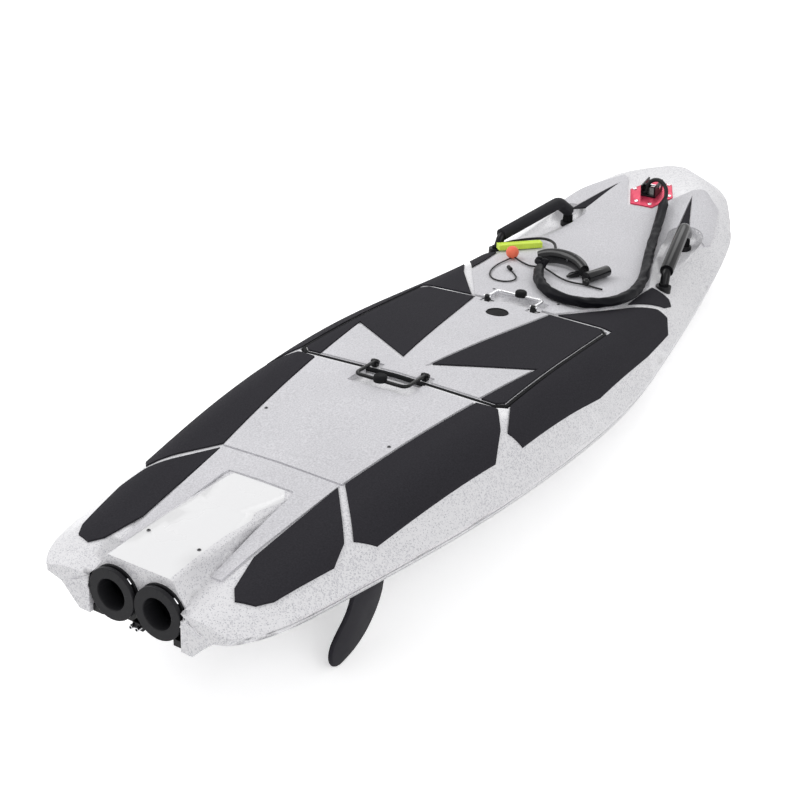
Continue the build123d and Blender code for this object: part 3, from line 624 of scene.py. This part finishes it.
# Places round the blade, from the root's front down to the tip and back up
FIN_EDGE = (
    (320, 10), (320.3, -24), (317, -38), (311, -51), (303, -62.5), (293, -73), (283, -82),
    (272, -89), (260, -94.8), (247, -99.3), (232, -102.4), (220, -104.0), (212, -104.2), (204, -102.4),
    (196.5, -98), (191.5, -91), (189.2, -82), (190.2, -73), (194, -64), (202, -55.5), (212, -47),
    (222, -39), (230.5, -30), (236.8, -19.5), (240.6, -8), (241, 10),
)
for hand, side in (("port", 1), ("starboard", -1)):
    dress(moulded_black, "intake_grille_" + hand)
    clear_selection()
    bpy.ops.mesh.primitive_circle_add(vertices=len(FIN_EDGE), radius=0.05)
    fin = bpy.context.object
    for corner, (x, z) in zip(fin.data.vertices, FIN_EDGE):
        corner.co = (x / 1000, (side * FIN_SIDE - FIN_THICK / 2) / 1000, z / 1000)
    pick(fin, "VERT", lambda place: True)
    bpy.ops.mesh.edge_face_add()
    bpy.ops.mesh.extrude_region_move(TRANSFORM_OT_translate={"value": (0, FIN_THICK / 1000, 0)})
    bpy.ops.mesh.select_all(action="SELECT")
    bpy.ops.mesh.normals_make_consistent(inside=False)
    pick(fin, "EDGE", lambda a, b: abs(a.y - b.y) < 0.0001)
    bpy.ops.mesh.bevel(offset=0.0030, segments=4)
    close_piece()
    settle(fin, "swept_fin_" + hand, "board", fin_black, angle=50)
    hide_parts("fin_" + hand)


# Grab handles
# A bent tube, coated black, stands on two round feet at each side of the front deck, over a finger scoop in
# the rail. A foam grip covers its long run: the port one is dull, the starboard one has a glossy skin and
# hard rings at its ends. A ribbed rubber boot covers each leg.
dull_grip = grained("dull_grip", (0.015, 0.015, 0.018), 0.55, grain=420, depth=0.25, specular=0.15)
glossy_grip = grained("glossy_grip", (0.006, 0.006, 0.007), 0.16, grain=260, depth=0.03, coat=0.10,
                      specular=0.20)
dress(coated_black, "handle_tube_port", "handle_tube_starboard")
dress(dull_grip, "handle_grip_port")
dress(glossy_grip, "handle_grip_starboard")
dress(moulded_black, "handle_feet_port", "handle_feet_starboard")
for hand in ("port", "starboard"):
    ease_edges("handle_grip_" + hand, 0.0025, segments=3)
    ease_edges("handle_feet_" + hand, 0.0015)
BOOTS = ((1319.5, 183.7, 128, 14, 10.2), (1561, 135, 141, 22, 11.5))
BOOT_RIBS, BOOT_RIB_DEEP = 20, 0.9
for hand, side in (("port", 1), ("starboard", -1)):
    for end, (x, y, low, tall, wide) in zip(("rear", "front"), BOOTS):
        clear_selection()
        bpy.ops.mesh.primitive_cylinder_add(vertices=2 * BOOT_RIBS, radius=wide / 1000, depth=tall / 1000,
                                            location=(x / 1000, side * y / 1000, (low + tall / 2) / 1000))
        boot = bpy.context.object
        sector = math.pi / BOOT_RIBS
        pick(boot, "FACE", lambda place, facing: abs(facing.z) < 0.5 and
             int((math.atan2(place.y, place.x) % (2 * math.pi)) / sector) % 2 == 0)
        bpy.ops.mesh.inset(thickness=0.0003, use_individual=True)
        bpy.ops.transform.shrink_fatten(value=-BOOT_RIB_DEEP / 1000)
        pick(boot, "VERT", lambda place: place.z > tall * 0.3 / 1000)
        bpy.ops.transform.resize(value=(0.90, 0.90, 1), center_override=boot.location)
        pick(boot, "FACE", lambda place, facing: abs(facing.z) > 0.9)
        bpy.ops.mesh.inset(thickness=0.0008)
        close_piece()
        settle(boot, "boot_%s_%s" % (end, hand), "board", rubber)


# Nose plate and tether bracket
# An anodised crimson plate is screwed to the nose with six bright button heads. A folded black bracket
# stands on it, with a polished cross pin between its cheeks for the tether's loop.
crimson = metal_finish("crimson_anodised", (0.66, 0.045, 0.105), 0.34, scratch=0.06, metallic=0.55)
dress(crimson, "nose_plate")
dress(coated_black, "tether_bracket")
dress(polished_steel, "tether_pin")
ease_edges("nose_plate", 0.0012)
ease_edges("tether_bracket", 0.0010)
bright_head = metal_finish("bright_screw", (0.86, 0.86, 0.87), 0.16)
PLATE_SCREWS = ((1701, 41), (1651, 16), (1649, -16), (1698, -41), (1748, -19), (1748, 19))
plate_screw = button_head(0.0045, 0.0026)
for number, (x, y) in enumerate(PLATE_SCREWS):
    height, lean = top_of("nose_plate", x, y)
    settle(seat_copy(plate_screw, (x, y, height - 0.1), lean), "plate_screw_%d" % number, "board", bright_head)
for model in (deck_screw, plate_screw):
    bpy.data.objects.remove(model)


# Tether
# A loop of stiff black cord goes over the bracket's pin and is bound into a long sleeve of shiny black cloth,
# gathered like a hair band over its elastic core. It lies down the foredeck and ends in a fat knot.
def lay_cord(name, points, radius):
    # One smooth curve through the places that the cord lies on, in millimetres on the level board
    line = bpy.data.curves.new(name, "CURVE")
    line.dimensions = "3D"
    spline = line.splines.new("NURBS")
    spline.points.add(len(points) - 1)
    for control, place in zip(spline.points, points):
        control.co = (*on_board(*place), 1)
    spline.order_u = 3
    spline.use_endpoint_u = True
    spline.resolution_u = 10
    line.bevel_depth = radius / 1000
    line.bevel_resolution = 3
    line.use_fill_caps = True
    cord = bpy.data.objects.new(name, line)
    bpy.context.collection.objects.link(cord)
    return cord


def centreline(name, points):
    # Places along the cord's curve
    cord = lay_cord(name + "_line", points, 0)
    mesh = bpy.data.meshes.new_from_object(cord)
    line = [corner.co.copy() for corner in mesh.vertices]
    bpy.data.objects.remove(cord)
    bpy.data.meshes.remove(mesh)
    return line


def run_length(line):
    return sum((b - a).length for a, b in zip(line, line[1:]))


def cloth_tube(name, line, step, around, reach):
    # Rings of corners along the line. reach(distance, angle) is how far the cloth stands from it
    total = run_length(line)
    count = max(2, round(total / step))
    places, legs, gone = [], list(zip(line, line[1:])), 0.0
    for number in range(count + 1):
        wanted = total * number / count
        while len(legs) > 1 and gone + (legs[0][1] - legs[0][0]).length < wanted:
            gone += (legs[0][1] - legs[0][0]).length
            legs.pop(0)
        a, b = legs[0]
        places.append(a.lerp(b, min(1, (wanted - gone) / (b - a).length)))
    ways = [(places[min(i + 1, count)] - places[max(i - 1, 0)]).normalized() for i in range(count + 1)]
    side = ways[0].cross(up).normalized()
    corners, turns = [], []
    for number, (place, way) in enumerate(zip(places, ways)):
        side = (side - way * side.dot(way)).normalized()
        rise = side.cross(way).normalized()
        for k in range(around):
            angle = 2 * math.pi * k / around
            out = side * math.cos(angle) + rise * math.sin(angle)
            corners.append(place + out * reach(total * number / count, angle))
    faces, spots = [], []
    for i in range(count):
        for k in range(around):
            n = (k + 1) % around
            faces.append((i * around + k, i * around + n, (i + 1) * around + n, (i + 1) * around + k))
            spots.append(((i, k), (i, k + 1), (i + 1, k + 1), (i + 1, k)))
    faces.append(tuple(reversed(range(around))))
    faces.append(tuple(range(count * around, (count + 1) * around)))
    mesh = bpy.data.meshes.new(name)
    mesh.from_pydata(corners, [], faces)
    layer = mesh.uv_layers.new(name="along")
    for face, spot in zip(mesh.polygons, spots):
        for loop, (i, k) in zip(face.loop_indices, spot):
            layer.data[loop].uv = (i * total / count, k / around)
    piece = bpy.data.objects.new(name, mesh)
    bpy.context.collection.objects.link(piece)
    select_only(piece)
    open_whole()
    bpy.ops.mesh.normals_make_consistent(inside=False)
    close_piece()
    bpy.ops.object.shade_smooth_by_angle(angle=math.radians(60))
    return piece


def woven(name, colour, roughness, pitch, depth, sheen=0.2, source="UV", **values):
    # Threads that cross on the tube's own length and girth
    cloth = new_finish(name, colour, roughness, **values)
    cloth.node_tree.nodes["Principled BSDF"].inputs["Sheen Weight"].default_value = sheen
    spot = texture(cloth, "ShaderNodeMapping", (-1300, 0), source=source)
    spot.inputs["Scale"].default_value = (1 / pitch, 40, 1)
    warp = add_node(cloth, "ShaderNodeTexWave", (-1000, 0), Scale=1.0, Distortion=0.4)
    weft = add_node(cloth, "ShaderNodeTexWave", (-1000, -300), Scale=1.0, Distortion=0.4, bands_direction="Y")
    for threads in (warp, weft):
        join(cloth, spot, "Vector", threads, "Vector")
    both = add_node(cloth, "ShaderNodeMath", (-700, -100), operation="MULTIPLY")
    join(cloth, warp, "Fac", both, 0)
    join(cloth, weft, "Fac", both, 1)
    cloud = texture(cloth, "ShaderNodeTexNoise", (-1000, 400), Scale=40, Detail=4)
    tint = mixed_colour(cloth, cloud, "Fac", tuple(c * 0.75 for c in colour), tuple(c * 1.3 for c in colour),
                        (-500, 300))
    coloured(cloth, tint)
    roughened(cloth, spread(cloth, cloud, "Fac", 0.35, 0.65, (-500, 0), roughness * 0.8, roughness * 1.2))
    bumped(cloth, both, "Value", depth, 0.0003)
    return cloth


sleeve_cloth = woven("sleeve_cloth", (0.005, 0.005, 0.007), 0.45, 0.0012, 0.10, sheen=0.0, specular=0.08)
braid = woven("braided_cord", (0.009, 0.009, 0.010), 0.55, 0.0018, 0.25, sheen=0.0, source="Object",
              specular=0.25)
SLEEVE_RADIUS = 10.0
SLEEVE = [
    (1652, -49, 212), (1600, -62, 195.5), (1530, -80, 178), (1446, -103, 165.5), (1364, -129, 157.4),
    (1292, -151, 153.6), (1236, -163, 151), (1186, -165, 150), (1134, -151, 150), (1098, -119, 150.6),
    (1092, -74, 150.6), (1106, -34, 152), (1142, 0, 153.6), (1184, 24, 153.6), (1224, 39, 154),
]
GATHER, GATHER_FINE = 0.021, 0.0068


def sleeve_reach(distance, angle):
    # Gathered cloth: slow swells, slanting folds and short creases, drawn in at both ends
    s = distance
    swell = 1.02 + 0.06 * math.sin(s / 0.043 + 1.1) * math.sin(s / 0.119)
    fold = math.sin(s / GATHER + 2.4 * math.sin(angle + s * 11) + 1.7 * math.sin(s / 0.037))
    crease = math.sin(s / GATHER_FINE + 3 * angle + 2.6 * math.sin(s / 0.023) + 1.2 * math.sin(2 * angle))
    flute = math.sin(4 * angle + s * 38 + 1.9 * math.sin(s / 0.031))
    size = SLEEVE_RADIUS * (swell + 0.085 * (0.5 - abs(fold)) + 0.035 * crease + 0.045 * flute)
    ends = min(1, 0.55 + distance / 0.055, 0.62 + (SLEEVE_RUN - distance) / 0.05)
    return size * max(0.4, ends) / 1000


sleeve_line = centreline("sleeve", SLEEVE)
SLEEVE_RUN = run_length(sleeve_line)
sleeve = cloth_tube("gathered_sleeve", sleeve_line, 0.0022, 40, sleeve_reach)
sleeve.data.materials.append(sleeve_cloth)

KNOT_MIDDLE, KNOT_STRAND, KNOT_SPREAD = (1236, 42, 158), 5.4, (1.05, 1.05, 1.3)
KNOT_TURNS = [
    (0.0, -3.0, 0.0), (5.6, 0.9, -3.0), (5.2, 7.4, 0.3), (0.0, 8.4, 3.0), (-5.2, 7.4, -0.3),
    (-5.6, 0.9, 3.0), (-8.6, -5.6, 0.0), (-3.4, -8.6, -3.0), (2.6, -5.0, 0.6), (8.6, -5.6, 3.0),
    (4.6, 2.0, 0.4), (-3.0, 3.6, -2.0),
]
knot_line = bpy.data.curves.new("knot", "CURVE")
knot_line.dimensions = "3D"
turns = knot_line.splines.new("NURBS")
turns.points.add(len(KNOT_TURNS) - 1)
for control, turn in zip(turns.points, KNOT_TURNS):
    control.co = (*(reach * spread_out / 1000 for reach, spread_out in zip(turn, KNOT_SPREAD)), 1)
turns.order_u = 3
turns.use_cyclic_u = True
turns.resolution_u = 10
knot_line.bevel_depth = KNOT_STRAND / 1000
knot_line.bevel_resolution = 5
knot = bpy.data.objects.new("tether_knot_lumps", knot_line)
bpy.context.collection.objects.link(knot)
knot.location = Vector(KNOT_MIDDLE) / 1000
knot.rotation_euler = (0.35, -0.25, math.radians(-20))
select_only(knot)
bpy.ops.object.convert(target="MESH")
knot = bpy.context.object
ridges = bpy.data.textures.new("knot_folds", "CLOUDS")
ridges.noise_scale = 0.006
folds = knot.modifiers.new("folds", "DISPLACE")
folds.texture = ridges
folds.strength = 0.0022
folds.mid_level = 0.55
bpy.ops.object.modifier_apply(modifier=folds.name)
settle(knot, "cloth_knot", "board", sleeve_cloth, angle=60)
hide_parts("tether_knot")
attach(sleeve, "board")
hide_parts("tether_sleeve")

LOOP_RADIUS = 4.5
LOOP = [(1683.5, 8, 213), (1684, 7, 230), (1687, -5, 241), (1683, -22, 243), (1675, -38, 234), (1664, -46, 223),
        (1652, -49, 212)]
loop_line = centreline("loop", LOOP)
loop = cloth_tube("tether_loop_cord", loop_line, 0.0015, 20, lambda distance, angle: LOOP_RADIUS * (
    0.97 + 0.03 * math.sin(2 * math.pi * distance / 0.004 + 2 * angle)) / 1000)
loop.data.materials.append(braid)
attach(loop, "board")
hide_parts("tether_loop")


# Hand throttle
# A glossy black moulded grip, arched to lie in the palm, in two shells that two small screws hold together.
# A cap closes its butt, a short cross tube its head, and the finger trigger hangs in front. A short braided
# lead plugs into its back, and a thin cord ties it, through a small round ball, to the tether's knot.
gloss_black = new_finish("gloss_black", (0.006, 0.006, 0.007), 0.16, coat=0.10, specular=0.25)
handled = texture(gloss_black, "ShaderNodeTexNoise", (-900, 200), Scale=55, Detail=5)
roughened(gloss_black, spread(gloss_black, handled, "Fac", 0.35, 0.7, (-500, 0), 0.12, 0.24))
coloured(gloss_black, mixed_colour(gloss_black, handled, "Fac", (0.006, 0.006, 0.007), (0.012, 0.012, 0.013),
                                   (-500, 200)))
bumped(gloss_black, handled, "Fac", 0.04, 0.0006)
dress(gloss_black, "throttle_body", "throttle_cross_tube", "throttle_lock_ball")
ease_edges("throttle_cross_tube", 0.0025, segments=3)
ease_edges("throttle_body", 0.0030, segments=3)

LEVER_MIDDLE, LEVER_SIZE, LEVER_TURN = (1236, -26, 148), (30, 9, 9), -25
LEVER_TIP, LEVER_ROOT, LEVER_CORE = -0.0145, -0.002, -0.0022
clear_selection()
bpy.ops.mesh.primitive_cube_add(size=1, location=Vector(LEVER_MIDDLE) / 1000,
                                rotation=(0, 0, math.radians(LEVER_TURN)))
lever = bpy.context.object
lever.scale = Vector(LEVER_SIZE) / 1000
bpy.ops.object.transform_apply(location=False, rotation=False, scale=True)
open_whole()
bpy.ops.mesh.subdivide(number_cuts=3)
for reach, test, shrink in ((-0.015, lambda place: place.x < LEVER_TIP, (1, 0.45, 0.35)),
                            (0, lambda place: LEVER_TIP < place.x < LEVER_ROOT, (1, 0.8, 0.75))):
    pick(lever, "VERT", test)
    bpy.ops.transform.resize(value=shrink,
                             center_override=lever.matrix_world @ Vector((reach, 0, LEVER_CORE)))
pick(lever, "EDGE", lambda a, b: abs(a.z - b.z) < 0.0001 and a.z > 0.004 and min(abs(a.y), abs(b.y)) > 0.004)
bpy.ops.mesh.bevel(offset=0.0012, segments=2)
close_piece()
settle(lever, "throttle_lever", "board", gloss_black)
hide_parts("throttle_trigger")


def touch(part, start, way):
    # Where a straight line from a place over the board first meets the part, and how the part faces there
    place, facing, _, _ = surface(part).ray_cast(on_board(*start), parked_turn.to_3x3() @ Vector(way))
    return level_place(place), parked_turn.to_3x3().inverted() @ facing


GRIP_SCREWS, GRIP_SCREW_WAY = ((1147.2, -49.4, 205.0), (1190.0, -47.4, 205.0)), (0.876, 0.372, -0.310)
grip_screw = button_head(0.0026, 0.0014)
for number, start in enumerate(GRIP_SCREWS):
    place, lean = touch("throttle_body", start, GRIP_SCREW_WAY)
    settle(seat_copy(grip_screw, place - lean * 0.3, lean), "grip_screw_%d" % number, "board", dark_screw)
bpy.data.objects.remove(grip_screw)


# Float and key block
# A coral foam ball and a ribbed yellow-green foam bar keep the tether and its key afloat. The ball is bored
# for its thin cord. The bar is moulded with a comb of small ribs along both long sides.
coral = grained("coral_foam", (0.86, 0.165, 0.085), 0.50, grain=420, depth=0.25, specular=0.4)
FLOAT_MIDDLE, FLOAT_RADIUS = (1268, 122, 154.2), 13.0
clear_selection()
bpy.ops.mesh.primitive_uv_sphere_add(segments=40, ring_count=24, radius=FLOAT_RADIUS / 1000,
                                     location=Vector(FLOAT_MIDDLE) / 1000,
                                     rotation=Vector((-0.30, -0.82, -0.48)).to_track_quat("Z", "Y").to_euler())
ball = bpy.context.object
pick(ball, "FACE", lambda place, facing: place.xy.length < 0.0022)
bpy.ops.mesh.extrude_region_move(TRANSFORM_OT_translate={"value": (0, 0, 0)})
pick(ball, "VERT", lambda place: place.xy.length < 0.0005)
bpy.ops.transform.resize(value=(1, 1, 0.72), center_override=ball.location)
close_piece()
settle(ball, "float_coral", "board", coral, angle=50)
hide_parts("float_ball")

lime = grained("lime_foam", (0.66, 0.84, 0.10), 0.55, grain=420, depth=0.2, specular=0.4)
BAR_ENDS, BAR_WIDE, BAR_THICK = ((1298, 170, 148.3), (1364, 104, 151.9)), 20, 11
BAR_RIBS, BAR_RIB_DEEP = 19, 1.1
a, b = (Vector(end) for end in BAR_ENDS)
run = b - a
clear_selection()
bpy.ops.mesh.primitive_cube_add(size=1, location=(a + b) / 2000,
                                rotation=(0, -math.atan2(run.z, run.xy.length), math.atan2(run.y, run.x)))
bar = bpy.context.object
bar.scale = (run.length / 1000, (BAR_WIDE - 2 * BAR_RIB_DEEP) / 1000, BAR_THICK / 1000)
bpy.ops.object.transform_apply(location=False, rotation=False, scale=True)
half_run = run.length / 2000
for cut in range(1, 2 * BAR_RIBS):
    open_whole()
    bpy.ops.mesh.bisect(plane_co=bar.matrix_world @ Vector((half_run * (cut / BAR_RIBS - 1), 0, 0)),
                        plane_no=bar.matrix_world.to_3x3() @ Vector((1, 0, 0)))
pick(bar, "FACE", lambda place, facing: abs(facing.y) > 0.9 and
     int((place.x + half_run) / (half_run / BAR_RIBS)) % 2 == 0)
bpy.ops.mesh.extrude_region_shrink_fatten(TRANSFORM_OT_shrink_fatten={"value": BAR_RIB_DEEP / 1000})
pick(bar, "FACE", lambda place, facing: facing.z > 0.9 and abs(place.y) < 0.009)
bpy.ops.mesh.inset(thickness=0.0028)
bpy.ops.mesh.extrude_region_move(TRANSFORM_OT_translate={"value": (0, 0, 0)})
bpy.ops.transform.shrink_fatten(value=-0.0011)
close_piece()
edge = bar.modifiers.new("edge", "BEVEL")
edge.width = 0.0004
edge.segments = 1
edge.angle_limit = math.radians(40)
bpy.ops.object.modifier_apply(modifier=edge.name)
settle(bar, "key_bar", "board", lime)
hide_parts("key_block")


# Thin cords
# Black braided cords of 3 to 4 mm, limp, lying on the foam: the key's lanyard with its small plug, the cord
# from the knot to the ball, and the one from the knot through the throttle's ball. The throttle's own lead is
# thicker and springier, and arches over to the port handle's rear foot.
LANYARD = [
    (1262, 121, 143.8), (1232, 127, 141.6), (1202, 127, 140.8), (1172, 121, 140.5), (1147, 109, 140.5),
    (1131, 91, 140.9), (1130, 71, 141.5), (1143, 57, 141.9), (1163, 58, 142), (1183, 73, 142),
    (1197, 88, 141.8),
]
FLOAT_CORD = [(1263.5, 114, 146.4), (1255, 97, 143.8), (1246, 80, 144), (1239, 65, 144.6), (1236.8, 52, 147.5)]
LOCK_CORD = [
    (1236.5, 32, 147.4), (1224, 12, 147), (1210, -6, 147), (1202, -26, 145.6), (1203, -46, 144.2),
    (1209, -66, 144), (1207, -85, 143), (1208.5, -102, 142.2),
]
FEED = [
    (1291, 38, 166), (1312, 48, 169.5), (1336, 62, 168.5), (1358, 81, 165), (1376, 104, 160), (1387, 126, 153),
    (1384, 148, 147.5), (1370, 166, 144), (1353, 176, 142.8), (1336.2, 180.4, 142.4),
]
clear_selection()
PLUG_LENGTH, PLUG_RADIUS = 16.0, 4.0
last, end = Vector(LANYARD[-2]), Vector(LANYARD[-1])
way = (end - last).normalized()
bpy.ops.mesh.primitive_cylinder_add(vertices=24, radius=PLUG_RADIUS / 1000, depth=PLUG_LENGTH / 1000,
                                    location=(end + way * (PLUG_LENGTH / 2 + 0.1) + Vector((0, 0, 2.5))) / 1000,
                                    rotation=way.to_track_quat("Z", "Y").to_euler())
plug = bpy.context.object
pick(plug, "EDGE", lambda a, b: abs(a.z - b.z) < 0.0001)
bpy.ops.mesh.bevel(offset=0.0012, segments=3)
pick(plug, "FACE", lambda place, facing: facing.z < -0.9)
bpy.ops.mesh.inset(thickness=0.0012)
bpy.ops.mesh.extrude_region_move(TRANSFORM_OT_translate={"value": tuple(way * 0.0009)})
close_piece()
settle(plug, "lanyard_plug", "board", moulded_black)
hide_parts("cord_lanyard_end")
for name, points, radius, node, start, far, ending, pieces in (
    ("lanyard", LANYARD, 1.5, "cord_lanyard", 0, "tool", "limp", [plug]),
    ("float_line", FLOAT_CORD, 1.8, "cord_float", -1, "tool", "limp", [ball]),
    ("lock_line", LOCK_CORD, 1.8, "cord_lock", 0, "bare", "limp", [nodes["throttle_lock_ball"]]),
    ("throttle_lead", FEED, 2.8, "cord_feed", 0, "object", "medium", []),
):
    cord = lay_cord(name, points, radius)
    cord.data.materials.append(braid)
    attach(cord, "board")
    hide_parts(node)
    run_length(centreline(name, points))


# Stage
# A white paper floor and white air all round, seen as plain white by the camera, in polished pieces and
# through clear ones. Only the board's soft shadow shows on the paper.
PAPER_LIFT, AIR_LIGHT = 0.42, 0.62
bpy.ops.mesh.primitive_plane_add(size=60, location=(0, 0, 0))
floor = bpy.context.object
floor.name = "studio_floor"
paper = new_finish("studio_paper", (0.92, 0.92, 0.92), 0.95)
path_kind = add_node(paper, "ShaderNodeLightPath", (-600, 300))
seen = add_node(paper, "ShaderNodeMath", (-400, 300), operation="MAXIMUM")
join(paper, path_kind, "Is Camera Ray", seen, 0)
join(paper, path_kind, "Is Glossy Ray", seen, 1)
lift = add_node(paper, "ShaderNodeMath", (-200, 300), operation="MULTIPLY")
lift.inputs[1].default_value = PAPER_LIFT
join(paper, seen, "Value", lift, 0)
paper.node_tree.nodes["Principled BSDF"].inputs["Emission Color"].default_value = (1, 1, 1, 1)
join(paper, lift, "Value", paper.node_tree.nodes["Principled BSDF"], "Emission Strength")
floor.data.materials.append(paper)
floor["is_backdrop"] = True

world = bpy.data.worlds.new("studio_air")
bpy.context.scene.world = world
world.use_nodes = True
air = world.node_tree.nodes["Background"]
air.inputs["Color"].default_value = (1, 1, 1, 1)
ray = add_node(world, "ShaderNodeLightPath")
either = add_node(world, "ShaderNodeMath", operation="MAXIMUM")
join(world, ray, "Is Camera Ray", either, 0)
join(world, ray, "Is Glossy Ray", either, 1)
through = add_node(world, "ShaderNodeMath", operation="MAXIMUM")
join(world, either, "Value", through, 0)
join(world, ray, "Is Transmission Ray", through, 1)
join(world, spread(world, through, "Value", 0, 1, (0, 0), AIR_LIGHT, 1.0), "Result", air, "Strength")

for name, place, size, power in (
    ("key_light", (-0.6, 2.6, 3.0), 2.2, 60),
    ("fill_light", (-1.8, -2.8, 2.2), 2.4, 34),
    ("nose_light", (3.0, 0.4, 2.4), 1.6, 16),
):
    bpy.ops.object.light_add(type="AREA", location=place)
    lamp = bpy.context.object
    lamp.name = name
    lamp.data.size = size
    lamp.data.energy = power
    lamp.rotation_euler = (Vector((0, 0, 0.1)) - Vector(place)).to_track_quat("-Z", "Y").to_euler()

bpy.context.scene.view_settings.view_transform = "Standard"
low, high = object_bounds()
